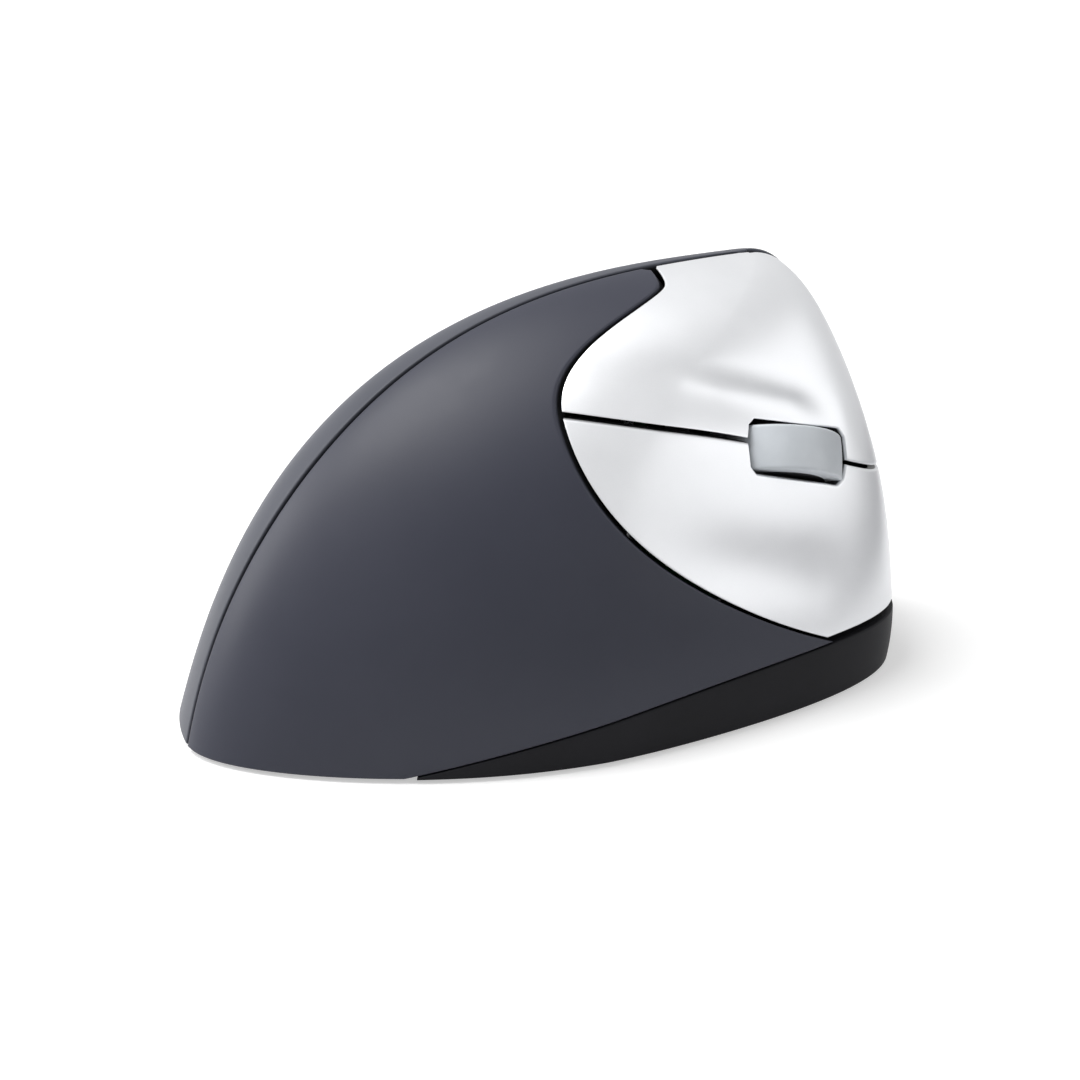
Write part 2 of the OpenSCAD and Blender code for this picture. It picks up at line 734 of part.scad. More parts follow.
// Arch strip that backs the crest seam, from above the rear post to the key border
module arch() {
    web_t = 3;
    web_s = wall + 1.6;
    web_rear = 6;
    web_front = 15;
    foot_z = post_z + 2;
    front_y = top_y - 16;
    strip_half = 3.4;
    strip_low = 12;
    strip_top = 2;
    lean = atan((seam_foot - seam_x(1)) / body_h);
    inner_s = function(k) web_s + web_rear + (web_front - web_rear) * k;
    function edge(s, k) =
        let(y0 = crest_y(foot_z, s(0)), y = y0 + (front_y - y0) * pow(k, 1.6))
        [y, crest_z(y, s(k)) / cos(lean)];
    strip = [for (v = even(18)) for (d = [-strip_half, 0, strip_half])
        let(z = strip_low + (body_h - strip_low - strip_top) * sin(90 * v * 0.86))
        [d < 0 ? rear_left(z, -d) - 360 : rear_right(z, d), z]];
    translate([seam_foot, 0, 0])
        rotate([0, -lean, 0])
            translate([-web_t / 2, 0, 0])
                rotate([90, 0, 90])
                    linear_extrude(web_t)
                        polygon(concat(
                            [for (k = even(14)) edge(function(k) web_s, k)],
                            [for (k = even(14)) edge(inner_s, 1 - k)]));
    sheet(drawn_in(strip, wall + 1), drawn_in(strip, wall + 2.4), 2, 18);
}

module chassis() {
    color([0.07, 0.07, 0.08])
    difference() {
        union() {
            arch();
            rod_z([arch_post[0], arch_post[1], post_z], post_r - 0.2, 8);
            for (p = legs)
                rod_z([p[0], p[1], post_z], post_r - 0.2, p[2] - post_z);
            finger() {
                block([plate_x - plate_t, plate_y[0], plate_low], [plate_x, plate_y[1], plate_top]);
                block([plate_x - plate_t, plate_y[0], plate_top - 1], [plate_x, tab_y, tab_top]);
                for (k = [-1, 1]) {
                    translate([plate_x, hinge_y - lug_r, k * hinge_post_z - hinge_post_t / 2])
                        cube([hinge_x + lug_r - plate_x, 2 * lug_r, hinge_post_t]);
                    translate([plate_x, cradle_y - cradle_arm, k * cradle_post_z - cradle_post_t / 2])
                        cube([cradle_x + cradle_arm - plate_x, 2 * cradle_arm, cradle_post_t]);
                }
                for (p = finger_screws)
                    rod_x([plate_x, p[0], p[1]], board_post_r, finger_board_x - board_t - plate_x);
            }
        }
        for (p = [legs[0], legs[1], arch_post])
            rod_z([p[0], p[1], 0], post_hole_r, case_shaft_l + 2.5);
        finger() {
            block([plate_x - plate_t - 1, -wheel_d / 2 + 1, -cheek_z - 1],
                  [plate_x + 1, wheel_d / 2 - 1, cheek_z + 1]);
            rod_z([hinge_x, hinge_y, -hinge_pin_l / 2], hinge_d / 2, hinge_pin_l);
            rod_z([cradle_x, cradle_y, -cradle_pin_l / 2], cradle_pin_r, cradle_pin_l);
            for (p = finger_screws)
                rod_x([finger_board_x - board_shaft_l - 0.3, p[0], p[1]], board_shaft_r + 0.05, board_shaft_l);
        }
    }
}

module finger_board() {
    color([0.05, 0.32, 0.16])
    finger()
        difference() {
            block([finger_board_x - board_t, finger_board_y[0], finger_board_low],
                  [finger_board_x, finger_board_y[1], finger_board_top]);
            block([finger_board_x - board_t - 1, board_gap_y, board_gap[0]],
                  [finger_board_x + 1, finger_board_y[1] + 1, board_gap[1]]);
            for (p = finger_screws)
                rod_x([finger_board_x - board_t - 1, p[0], p[1]], board_shaft_r + 0.1, board_t + 2);
        }
}

module key_switch(z) {
    color([0.13, 0.13, 0.14])
    finger()
        difference() {
            translate([finger_board_x, press_y - 8.6, z - switch_size[2] / 2])
                cube(switch_size);
            rod_x([finger_board_x + 3.4, press_y, z], plunger_r + slide_clear, switch_size[0]);
        }
}

module index_switch() {
    key_switch(index_press_z);
}

module middle_switch() {
    key_switch(middle_press_z);
}

module plunger(z) {
    color([0.85, 0.30, 0.18])
    finger()
        rod_x([finger_board_x + 4, press_y, z], plunger_r, press_x - finger_board_x - 4);
}

module index_plunger() {
    plunger(index_press_z);
}

module middle_plunger() {
    plunger(middle_press_z);
}

// Barrel tyre, turned about the axle
module wheel_tyre() {
    r = wheel_d / 2;
    w = wheel_w / 2;
    color([0.78, 0.81, 0.84])
    finger()
        translate([wheel_x, 0, 0])
            rotate_extrude()
                polygon([[hub_r, -w], [r - 1.1, -w], [r - 0.45, 0.4 - w], [r - 0.12, 1.3 - w], [r, 0],
                         [r - 0.12, w - 1.3], [r - 0.45, w - 0.4], [r - 1.1, w], [hub_r, w]]);
}

module wheel_hub() {
    color([0.20, 0.21, 0.22])
    finger()
        union() {
            rod_z([wheel_x, 0, -wheel_w / 2], hub_r, wheel_w);
            rod_z([wheel_x, 0, -cheek_z - cheek_t - 0.8], axle_d / 2, 2 * cheek_z + 2 * cheek_t + 4.2);
        }
}

module wheel_cradle() {
    color([0.12, 0.12, 0.13])
    finger()
        difference() {
            union() {
                for (z = [-cheek_z - cheek_t, cheek_z])
                    translate([0, 0, z]) {
                        block([cradle_x - cradle_arm, cradle_y - cradle_arm, 0],
                              [cradle_x + cradle_arm, cheek_r, cheek_t]);
                        block([cradle_x, -cheek_r, 0], [wheel_x, cheek_r, cheek_t]);
                        rod_z([wheel_x, 0, 0], cheek_r, cheek_t);
                    }
                block([cradle_x - cradle_arm, cradle_y - cradle_arm, -cheek_z - 0.5],
                      [cradle_x + cradle_arm, cradle_y + cradle_arm, cheek_z + 0.5]);
                block([click_x, 0, -cheek_z - cheek_t], [click_x + cheek_t, tact_at[0] + finger_w, -cheek_z]);
                block([click_x, tact_at[0] - finger_w, tact_at[1] - 1.3],
                      [click_x + cheek_t, tact_at[0] + finger_w, -cheek_z]);
            }
            rod_z([wheel_x, 0, -cradle_pin_l], axle_d / 2 + run_clear, 2 * cradle_pin_l);
            rod_z([cradle_x, cradle_y, -cradle_pin_l], cradle_pin_r + run_clear, 2 * cradle_pin_l);
        }
}

module cradle_pin() {
    color([0.70, 0.71, 0.72])
    finger()
        rod_z([cradle_x, cradle_y, -cradle_pin_l / 2], cradle_pin_r, cradle_pin_l);
}

module wheel_encoder() {
    color([0.16, 0.24, 0.30])
    finger()
        difference() {
            block([wheel_x - encoder_size[1] / 2, -encoder_size[1] / 2, cheek_z + cheek_t],
                  [wheel_x + encoder_size[0], encoder_size[1] / 2, cheek_z + cheek_t + encoder_size[2]]);
            rod_z([wheel_x, 0, 0], axle_d / 2 + run_clear, cradle_pin_l);
        }
}

module wheel_click_switch() {
    color([0.15, 0.15, 0.16])
    finger()
        translate([finger_board_x, tact_at[0], tact_at[1]])
            union() {
                block([0, -tact_size[1] / 2, -tact_size[2] / 2], [tact_size[0], tact_size[1] / 2, tact_size[2] / 2]);
                rod_x([tact_size[0] - 0.5, 0, 0], tact_tip_r, tact_tip + 0.5);
            }
}

module main_board() {
    color([0.05, 0.32, 0.16])
    difference() {
        block([main_x[0], main_y[0], main_z], [main_x[1], main_y[1], main_z + board_t]);
        rod_z([sensor_at[0], sensor_at[1], main_z - 1], sensor_eye_r + 0.6, board_t + 2);
        for (p = main_screws)
            rod_z([p[0], p[1], main_z - 1], board_shaft_r + 0.1, board_t + 2);
    }
}

module controller_chip() {
    color([0.10, 0.10, 0.11])
    translate([chip_at[0], chip_at[1], main_z + board_t])
        cube(chip_size);
}

module optical_sensor() {
    color([0.10, 0.10, 0.11])
    union() {
        translate([sensor_at[0] - sensor_size[0] / 2, sensor_at[1] - sensor_size[1] / 2, main_z + board_t])
            cube(sensor_size);
        rod_z([sensor_at[0], sensor_at[1], main_z - 1.2], sensor_eye_r, board_t + 2.2);
    }
}

module sensor_lens() {
    color([0.80, 0.85, 0.90])
    union() {
        translate([sensor_at[0] - lens_size[0] / 2, sensor_at[1] - lens_size[1] / 2, floor_z])
            cube(lens_size);
        rod_z([sensor_at[0], sensor_at[1], floor_z + 1], lens_r, lens_size[2]);
    }
}

module power_switch() {
    color([0.60, 0.61, 0.62])
    difference() {
        block([power_at[0] - power_size[0] / 2, power_at[1] - power_size[1] / 2, main_z - power_size[2]],
              [power_at[0] + power_size[0] / 2, power_at[1] + power_size[1] / 2, main_z]);
        block([power_at[0] - power_slot[0] / 2, power_at[1] - power_slot[1] / 2, main_z - power_size[2] - 1],
              [power_at[0] + power_slot[0] / 2, power_at[1] + power_slot[1] / 2, main_z - 2.2]);
    }
}

module power_knob() {
    color([0.10, 0.10, 0.11])
    translate([power_at[0], power_at[1] - 1.3, 0])
        block([-knob_size[0] / 2, -knob_size[1] / 2, foot_lift + 0.3],
              [knob_size[0] / 2, knob_size[1] / 2, main_z - 2.5]);
}

module battery_cell() {
    color([0.30, 0.42, 0.30])
    union() {
        rod_y([cell_x, cell_y0, cell_z], cell_d / 2, cell_l);
        rod_y([cell_x, cell_y0 + cell_l - 1, cell_z], nub_r, nub_l + 1);
    }
}

// Cone spring that presses on the flat end of the cell: a round wire wound on a helix
module battery_spring() {
    turns = 3;
    steps = 16 * turns;
    y0 = bay_y0 + spring_wire;
    y1 = cell_y0 - spring_wire;
    ring = [for (k = [0 : 5]) spring_wire * [cos(60 * k), sin(60 * k)]];
    points = [for (i = [0 : steps]) for (q = ring)
        let(a = 360 * turns * i / steps, r = spring_r - spring_taper * i / steps + q[0])
        [cell_x + r * cos(a), y0 + (y1 - y0) * i / steps + q[1], cell_z + r * sin(a)]];
    sides = [for (i = [0 : steps - 1]) for (k = [0 : 5])
        let(a = 6 * i + k, b = 6 * i + (k + 1) % 6) each [[a, b + 6, b], [a, a + 6, b + 6]]];
    start = [for (k = [0 : 5]) k];
    finish = [for (k = [5 : -1 : 0]) 6 * steps + k];
    color([0.70, 0.71, 0.72])
    union() {
        polyhedron(points = points, faces = concat(sides, [start, finish]), convexity = 8);
        block([cell_x - spring_seat, bay_y0, cell_z - spring_seat],
              [cell_x + spring_seat, bay_y0 + contact_t, cell_z + spring_seat]);
    }
}

module battery_contact() {
    color([0.70, 0.71, 0.72])
    block([cell_x - contact_half, bay_y1 - contact_t, cell_z - contact_low],
          [cell_x + contact_half, bay_y1, cell_z + contact_high]);
}

// Flat cable from the finger board round the foot of the chassis plate to the main board
module ribbon_cable() {
    a = finger_pt([finger_board_x - board_t - cable_off, cable_from, finger_board_low + cable_up]);
    d = [main_x[1] - cable_in, main_y[0] + cable_along, main_z + board_t + cable_t];
    b = a - [0, 0, cable_drop];
    c = d + [cable_lead, 0, 0];
    path = [for (k = even(12))
        pow(1 - k, 3) * a + 3 * k * pow(1 - k, 2) * b + 3 * k * k * (1 - k) * c + pow(k, 3) * d];
    low = [for (p = path) for (w = [-1, 1]) p + [0, w * cable_w / 2, -cable_t]];
    high = [for (p = path) for (w = [-1, 1]) p + [-0.1, w * cable_w / 2, 0]];
    color([0.80, 0.80, 0.78])
    sheet(high, low, 1, 12);
}

// One screw along +Z from the seat of its head
module screw(shaft_r, shaft_l, head_r, head_t) {
    difference() {
        union() {
            rod_z([0, 0, -head_t], head_r, head_t);
            rod_z([0, 0, -0.1], shaft_r, shaft_l + 0.1);
        }
        for (a = [0, 90])
            rotate([0, 0, a])
                block([-head_r * 0.6, -0.25, -head_t - 1], [head_r * 0.6, 0.25, -head_t * 0.45]);
    }
}

module case_screws() {
    color([0.55, 0.56, 0.58])
    for (p = all_posts)
        translate([p[0], p[1], case_head_z + case_head_t])
            screw(case_shaft_r, case_shaft_l - case_head_z, case_head_r, case_head_t);
}

module board_screw() {
    screw(board_shaft_r, board_shaft_l - 0.8, board_head_r, board_head_t);
}

module board_screws() {
    color([0.55, 0.56, 0.58])
    union() {
        for (p = main_screws)
            translate([p[0], p[1], main_z + board_t])
                rotate([180, 0, 0])
                    board_screw();
        for (y = thumb_screws_y)
            translate([thumb_board_x + board_t, y, thumb_board_z])
                rotate([0, -90, 0])
                    board_screw();
        finger()
            for (p = finger_screws)
                translate([finger_board_x, p[0], p[1]])
                    rotate([0, -90, 0])
                        board_screw();
    }
}

base_plate();
battery_door();
glide_feet();
palm_shell();
thumb_shell();
chassis();
index_button();
middle_button();
key_hinge_pin();
finger_board();
index_switch();
middle_switch();
index_plunger();
middle_plunger();
wheel_tyre();
wheel_hub();
wheel_cradle();
cradle_pin();
wheel_encoder();
wheel_click_switch();
thumb_forward_button();
thumb_back_button();
thumb_board();
thumb_forward_switch();
thumb_back_switch();
main_board();
controller_chip();
optical_sensor();
sensor_lens();
power_switch();
power_knob();
battery_cell();
battery_spring();
battery_contact();
ribbon_cable();
case_screws();
board_screws();
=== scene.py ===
import bpy
import numpy as np
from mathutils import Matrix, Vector


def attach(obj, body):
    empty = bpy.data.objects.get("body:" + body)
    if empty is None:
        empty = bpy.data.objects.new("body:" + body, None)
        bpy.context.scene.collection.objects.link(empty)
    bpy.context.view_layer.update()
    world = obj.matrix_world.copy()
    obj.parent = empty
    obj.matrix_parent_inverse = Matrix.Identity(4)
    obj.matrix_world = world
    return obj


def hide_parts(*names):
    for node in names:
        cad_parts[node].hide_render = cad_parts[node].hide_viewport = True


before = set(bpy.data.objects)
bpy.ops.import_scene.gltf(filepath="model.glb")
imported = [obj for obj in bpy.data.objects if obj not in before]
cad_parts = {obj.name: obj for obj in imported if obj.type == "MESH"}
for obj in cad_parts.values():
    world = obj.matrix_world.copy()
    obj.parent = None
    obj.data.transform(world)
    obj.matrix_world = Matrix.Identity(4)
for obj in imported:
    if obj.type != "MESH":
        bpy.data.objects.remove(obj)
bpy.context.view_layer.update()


# Base tray: one injection moulding in black plastic with a fine spark texture. It carries every post and
# the cell bay, and its rim wedges up towards the front under the shells. A thin rounded skirt finishes
# the rim that shows; the moulding itself stays as built.
MM = 0.001
BODY_L, BODY_W, BODY_H = 116.0, 69.0, 63.0
FOOT_Z = 0.7
PEAK_Y = 39.5
SEAM_FOOT, SEAM_LEAN, SEAM_BOW = 7.5, 6.5, 9.0


def seam_side(f):
    """Sideways place of the crest seam at height share f: it starts on the right, leans left and bows."""
    return SEAM_FOOT - SEAM_LEAN * f - SEAM_BOW * f * f


REAR_POWER, REAR_SUNK = 2.6, 40.0


def rear_edge(z, s):
    """Rear edge of the slice at height z: a superellipse whose centre lies well under the desk."""
    rise = BODY_H - s + REAR_SUNK
    span = (PEAK_Y + BODY_L / 2 - s) / (1 - (REAR_SUNK / rise) ** REAR_POWER) ** (1 / REAR_POWER)
    share = np.clip(z + REAR_SUNK, 0, None) / rise
    return PEAK_Y - span * np.clip(1 - share ** REAR_POWER, 0, None) ** (1 / REAR_POWER)


NOSE_TOP_FULL, NOSE_TOP_POWER = 0.29, 14
NOSE_MID_FULL, NOSE_MID_Z, NOSE_MID_TALL = 0.5, 28.0, 14.0
NOSE_DRAFT, NOSE_DRAFT_TALL = 1.2, 10.0


def front_edge(z, s):
    """Front edge of the slice at height z: a quarter ellipse up to the peak, a little fuller near the top and
    at mid height, and drafted in near the desk."""
    f = np.clip(z / (BODY_H - s), 0, 1)
    top_full = 1 + NOSE_TOP_FULL * f ** NOSE_TOP_POWER
    arc = PEAK_Y + (BODY_L / 2 - PEAK_Y - s) * np.sqrt(1 - f * f) * top_full
    mid_full = NOSE_MID_FULL * np.exp(-((z - NOSE_MID_Z) / NOSE_MID_TALL) ** 2)
    return arc + mid_full - NOSE_DRAFT * np.clip(1 - z / NOSE_DRAFT_TALL, 0, None) ** 2


SPLIT_TOP, SPLIT_SLOPE, SPLIT_BOW = 50.0, 0.12, 0.0038


def split_height(y):
    """Height of the split between the two keys: a shallow parabola that drops towards the nose."""
    return SPLIT_TOP - SPLIT_SLOPE * y - SPLIT_BOW * y * y


def ease(k):
    """Smooth share: k held between 0 and 1, with a flat start and a flat end."""
    k = np.clip(k, 0, 1)
    return k * k * (3 - 2 * k)


GROOVES = ((2.2, 4.8, 3.68), (0.9, -19.0, 6.0))
GROOVE_FROM, GROOVE_RUN, GROOVE_TO, GROOVE_FADE = 4.0, 22.0, 38.0, 10.0


def finger_groove(y, z):
    """Depth of the two finger grooves: bell curves with a depth, a place over the split and a width, fading
    in along the keys and out before the nose."""
    d = z - split_height(y)
    bells = sum(depth * np.exp(-((d - place) / width) ** 2) for depth, place, width in GROOVES)
    return ease((y - GROOVE_FROM) / GROOVE_RUN) * (1 - ease((y - GROOVE_TO) / GROOVE_FADE)) * bells


def right_reach(f, s=0.0):
    """Reach of the finger side: an arc from the foot's half width up to the peak, never behind the seam."""
    top = seam_side(1)
    return np.maximum(seam_side(f), top + (BODY_W / 2 - s - top) * np.sqrt(np.clip(1 - f ** 1.75, 0, None)))


THUMB_ARC, THUMB_FLARE = 18.5, 13.0


def left_reach(f, s=0.0):
    """Reach of the thumb side: an upright arc beside the seam and a flare that grows downwards."""
    return seam_side(f) - (THUMB_ARC - s) * np.sqrt(np.clip(1 - f ** 3, 0, None)) - THUMB_FLARE * (1 - f) ** 3


NOSE_SEAM = -4.0


def nose_seam(f):
    """Sideways place of the nose seam at height share f: it moves over to the peak with the square."""
    return NOSE_SEAM + (seam_side(1) - NOSE_SEAM) * f * f


def widest_y(f):
    """Place along the length where the slice at height share f is widest."""
    return PEAK_Y * f ** 3.5


CORNER_RIGHT, CORNER_LEFT = 6.0, 4.0
TAPER_RIGHT, TAPER_LEFT = 0.32, 0.3
REAR_RIGHT, REAR_LEFT = -0.22, 0.45


def skin(t, z, s=0.0):
    """Point of the body in millimetres at slice angle t (degrees: -90 rear seam, 0 finger side, 90 nose, 180
    thumb side) and height z, drawn in by s. Each slice is half an ellipse at the rear and half a rounded
    square at the front; reach and ends follow the front view and the side view."""
    t, z, s = np.broadcast_arrays(np.asarray(t, float), np.asarray(z, float), np.asarray(s, float))
    f = np.clip(z / (BODY_H - s), 0, 1)
    a = np.radians(t)
    c, q = np.abs(np.cos(a)), np.abs(np.sin(a))
    front, right = np.sin(a) >= 0, np.cos(a) >= 0
    n = np.where(right, CORNER_RIGHT, CORNER_LEFT)
    r = (c ** n + q ** n) ** (-1 / n)
    end = np.where(front, q * r, q)
    side = np.where(front, c * r * (1 - np.where(right, TAPER_RIGHT, TAPER_LEFT) * end ** 1.5),
                    c * (1 + np.where(right, REAR_RIGHT, REAR_LEFT) * q * q))
    middle = widest_y(f)
    y = middle + (np.where(front, front_edge(z, s), rear_edge(z, s)) - middle) * end
    centre = np.where(front, nose_seam(f), seam_side(f))
    foot = FOOT_Z / BODY_H
    ledge = (BODY_W / 2 + SEAM_FOOT - SEAM_LEAN * foot - THUMB_ARC) / (1 - foot) ** 3 - THUMB_FLARE
    x_right = centre + (right_reach(f, s) - centre - finger_groove(y, z)) * side
    x_left = centre + (left_reach(f, s) - centre) * side
    x_left = x_left - ledge * (1 - f) ** 3 * np.clip(1 - end * end, 0, None) ** 2
    return np.stack([np.where(right, x_right, x_left), y, z], -1)


def drawn_in(t, z, s):
    """The body surface moved inwards by s; near the peak the height comes down with it."""
    return skin(t, z - s * np.clip(z / BODY_H, 0, 1) ** 6, s)


RIM_TOP, RIM_Y, RIM_SPAN = 9.5, 40.0, 71.0


def rim_height(t):
    """Top of the base rim at slice angle t: a parabola along the length, highest near the front."""
    y = skin(t, RIM_TOP / 2)[..., 1]
    return RIM_TOP * (1 - ((y - RIM_Y) / RIM_SPAN) ** 2)


def reach_rate(t, z, along):
    """Millimetres of surface for one degree of angle or for one millimetre of height."""
    dt, dz = (0.02, 0.0) if along == "angle" else (0.0, 0.002)
    step = skin(t + dt, z + dz) - skin(t - dt, z - dz)
    return np.linalg.norm(step, axis=-1) / (2 * (dt + dz)) + 1e-6


def rolled(e, r):
    """Depth of a rounded edge of radius r at distance e from the edge: a quarter circle."""
    k = np.clip(1 - e / r, 0, 1)
    return r * (1 - np.sqrt(1 - k * k))


def spread(left, right):
    """Columns at even shares of the angle between left(z) and right(z)."""
    return lambda w, z: left(z) * (1 - w) + right(z) * w


RIM_LINES = np.array([0, 0.134, 0.5, 1, 1.8])


def panel(angle_at, low, high, across, up, wall, edge, proud=0.0, steer=None, opening=None):
    """Closed moulded panel of the body. Its columns lie at the angles angle_at(w, z) for the shares in across,
    its rows from the height low(t, w) to high(t, w) at the shares in up, and extra lines hug the rim so that
    the edge rolls over with the radius edge. The back lies at the depth wall. An opening leaves cells out and
    rolls the edge round them. Angles and heights depend on each other, so they are settled in damped steps.
    Returns the points and the quads."""
    hug = edge * RIM_LINES

    def lines(shares):
        """Shares of all lines, how far from the rim each is held, and its distance from the rim."""
        n, m = len(hug), len(shares)
        w = np.concatenate([np.zeros(n), shares, np.ones(n)])
        hold = np.concatenate([hug, np.full(m, hug[-1]), hug[::-1]])
        far = np.concatenate([hug, np.full(m, 1e3), hug[::-1]])
        return w, hold, far

    w, hold_w, far_w = lines(across)
    v, hold_v, far_v = lines(up)
    v, hold_v = v[:, None], hold_v[:, None]
    z = np.full((len(v), len(w)), 20.0)
    t = angle_at(w, z)
    for turn in range(40):
        z0, z1 = low(t[:1], w), high(t[-1:], w)
        k0, k1 = reach_rate(t[:1], z0, "height"), reach_rate(t[-1:], z1 - 0.002, "height")
        tight = np.minimum(1, 0.4 * (z1 - z0) * np.minimum(k0, k1) / hug[-1])
        z = z0 * (1 - v) + z1 * v + hold_v * tight * ((1 - v) / k0 - v / k1)
        if turn == 39:
            break
        t0, t1 = angle_at(0.0, z), angle_at(1.0, z)
        r0, r1 = reach_rate(t0, z, "angle"), reach_rate(t1, z, "angle")
        tight = np.clip(0.4 * (t1 - t0) * np.minimum(r0, r1) / hug[-1], 0, 1)
        wanted = angle_at(w, z) + hold_w * tight * ((1 - w) / r0 - w / r1)
        if steer is not None:
            wanted = wanted + steer(w, wanted, z)
        t = (t + wanted) / 2
    distance = np.minimum(far_w[None, :], far_v[:, None])
    keep = np.ones((len(v) - 1, len(w) - 1), bool)
    if opening is not None:
        beside, inside = opening(w, v[:, 0])
        distance = np.minimum(distance, beside)
        keep &= ~inside
    outer = drawn_in(t, z, rolled(distance, edge) - proud)
    inner = drawn_in(t, z, np.full_like(t, wall))
    points = np.concatenate([outer.reshape(-1, 3), inner.reshape(-1, 3)])
    return points, sheet_quads(keep)


def sheet_quads(keep):
    """Quads of a closed sheet over a grid: the front, the back turned round, and a wall at every free edge."""
    rows, cols = keep.shape
    ids = np.arange((rows + 1) * (cols + 1)).reshape(rows + 1, cols + 1)
    under = ids + ids.size
    corner = [g[i:i + rows, j:j + cols] for g in (ids, under) for i, j in ((0, 0), (0, 1), (1, 1), (1, 0))]
    frame_mask = np.pad(keep, 1)
    quads = [np.stack(corner[:4], -1)[keep], np.stack(corner[4:][::-1], -1)[keep]]
    beside = (frame_mask[:-2, 1:-1], frame_mask[1:-1, 2:], frame_mask[2:, 1:-1], frame_mask[1:-1, :-2])
    for k, other in enumerate(beside):
        a, b = corner[k], corner[(k + 1) % 4]
        wall = np.stack([b, a, corner[4 + k], corner[4 + (k + 1) % 4]], -1)
        quads.append(wall[keep & ~other])
    return np.concatenate(quads)


def make_piece(name, points, quads, material, body, nodes=(), sharp=40):
    """Puts points in millimetres and quads into a smooth-shaded mesh that rides on a body. The attribute coat
    is 1 on the first half of the points, which is a panel's outside, and 0 on the rest."""
    mesh = bpy.data.meshes.new(name)
    mesh.from_pydata((points * MM).tolist(), [], quads.tolist())
    mesh.polygons.foreach_set("use_smooth", np.ones(len(mesh.polygons), bool))
    mesh.set_sharp_from_angle(angle=np.radians(sharp))
    coat = mesh.attributes.new("coat", "FLOAT", "POINT")
    coat.data.foreach_set("value", np.repeat([1.0, 0.0], (len(points) + 1) // 2)[:len(points)])
    mesh.materials.append(material)
    piece = bpy.data.objects.new(name, mesh)
    bpy.context.scene.collection.objects.link(piece)
    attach(piece, body)
    if nodes:
        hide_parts(*nodes)


class Signal:
    """A socket of a material's nodes. Sums, differences and products of signals add Math nodes."""

    def __init__(self, tree, socket):
        self.tree, self.socket = tree, socket

    def node(self, kind, settings=None, sockets=None, out=0):
        """Adds a node: its settings first, then the values or links of its sockets; gives one output."""
        made = self.tree.nodes.new(kind)
        for key, value in (settings or {}).items():
            setattr(made, key, value)
        for key, value in (sockets or {}).items():
            if isinstance(value, Signal):
                self.tree.links.new(value.socket, made.inputs[key])
            else:
                made.inputs[key].default_value = value
        return Signal(self.tree, made.outputs[out])

    def math(self, operation, a, b=0.0):
        return self.node("ShaderNodeMath", {"operation": operation}, {0: a, 1: b})

    def __add__(self, other):
        return self.math("ADD", self, other)

    def __sub__(self, other):
        return self.math("SUBTRACT", self, other)

    def __mul__(self, other):
        return self.math("MULTIPLY", self, other)

    def __rsub__(self, other):
        return self.math("SUBTRACT", other, self)

    __radd__ = __add__
    __rmul__ = __mul__

    def between(self, low, high):
        """Maps low..high to 0..1, clamped."""
        return self.node("ShaderNodeMapRange", {}, {"Value": self, "From Min": low, "From Max": high})

    def noise(self, scale, detail=3.0, rough=0.5):
        """Cloudy noise on these coordinates, from 0 to 1; scale is in cycles for each metre."""
        return self.node("ShaderNodeTexNoise", {}, {"Vector": self, "Scale": scale, "Detail": detail,
                                                    "Roughness": rough})

    def blend(self, dark, light):
        """A colour that goes from dark to light with this signal; either may be a signal itself."""
        tone = [c if isinstance(c, Signal) else (*c, 1.0) for c in (dark, light)]
        return self.node("ShaderNodeMix", {"data_type": "RGBA"}, {0: self, 6: tone[0], 7: tone[1]}, out=2)

    def coat(self):
        """1 on the painted outside; 0 on the raw back and on most edge walls, where the black is also painted
        shade.
        """
        return self.node("ShaderNodeAttribute", {"attribute_name": "coat"}, out="Fac").between(0.8, 0.95)

    def bump(self, strength, depth, normal=None):
        """A normal from this height; depth is the real height of the relief in metres."""
        sockets = {"Height": self, "Strength": strength, "Distance": depth}
        if normal is not None:
            sockets["Normal"] = normal
        return self.node("ShaderNodeBump", {}, sockets)


def new_material(name):
    """A material with its shader and the object coordinates to paint it on."""
    made = bpy.data.materials.new(name)
    made.use_nodes = True
    shader = made.node_tree.nodes["Principled BSDF"]
    at = Signal(made.node_tree, made.node_tree.nodes.new("ShaderNodeTexCoord").outputs["Object"])
    return made, shader, at


def feed(shader, **signals):
    """Links signals to the shader's sockets, or sets their plain numbers; underscores stand for spaces."""
    for key, value in signals.items():
        socket = shader.inputs[key.replace("_", " ")]
        if isinstance(value, Signal):
            value.tree.links.new(value.socket, socket)
        else:
            socket.default_value = value


def moulded_plastic(name, dark, light, rough, grain, depth, specular=0.5):
    """Moulded plastic: spark-eroded grain as bump, cloudy sheen, faint colour drift and rubbed high spots."""
    made, shader, at = new_material(name)
    cloud = at.noise(55, 2)
    fine = at.noise(grain, 2)
    rub = at.noise(420, 4, 0.7).between(0.62, 0.8)
    soft = at.node("ShaderNodeBevel", {"samples": 4}, {"Radius": 0.00015})
    feed(shader, Base_Color=cloud.between(0.3, 0.7).blend(dark, light),
         Roughness=rough + (cloud - 0.5) * 0.12 - rub * 0.06,
         Normal=fine.bump(0.35, depth, soft), Specular_IOR_Level=specular)
    return made


def dress(material, *names):
    """Gives built nodes their finish."""
    for name in names:
        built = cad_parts[name]
        if not built.material_slots:
            built.data.materials.append(material)
        for place in built.material_slots:
            place.material = material


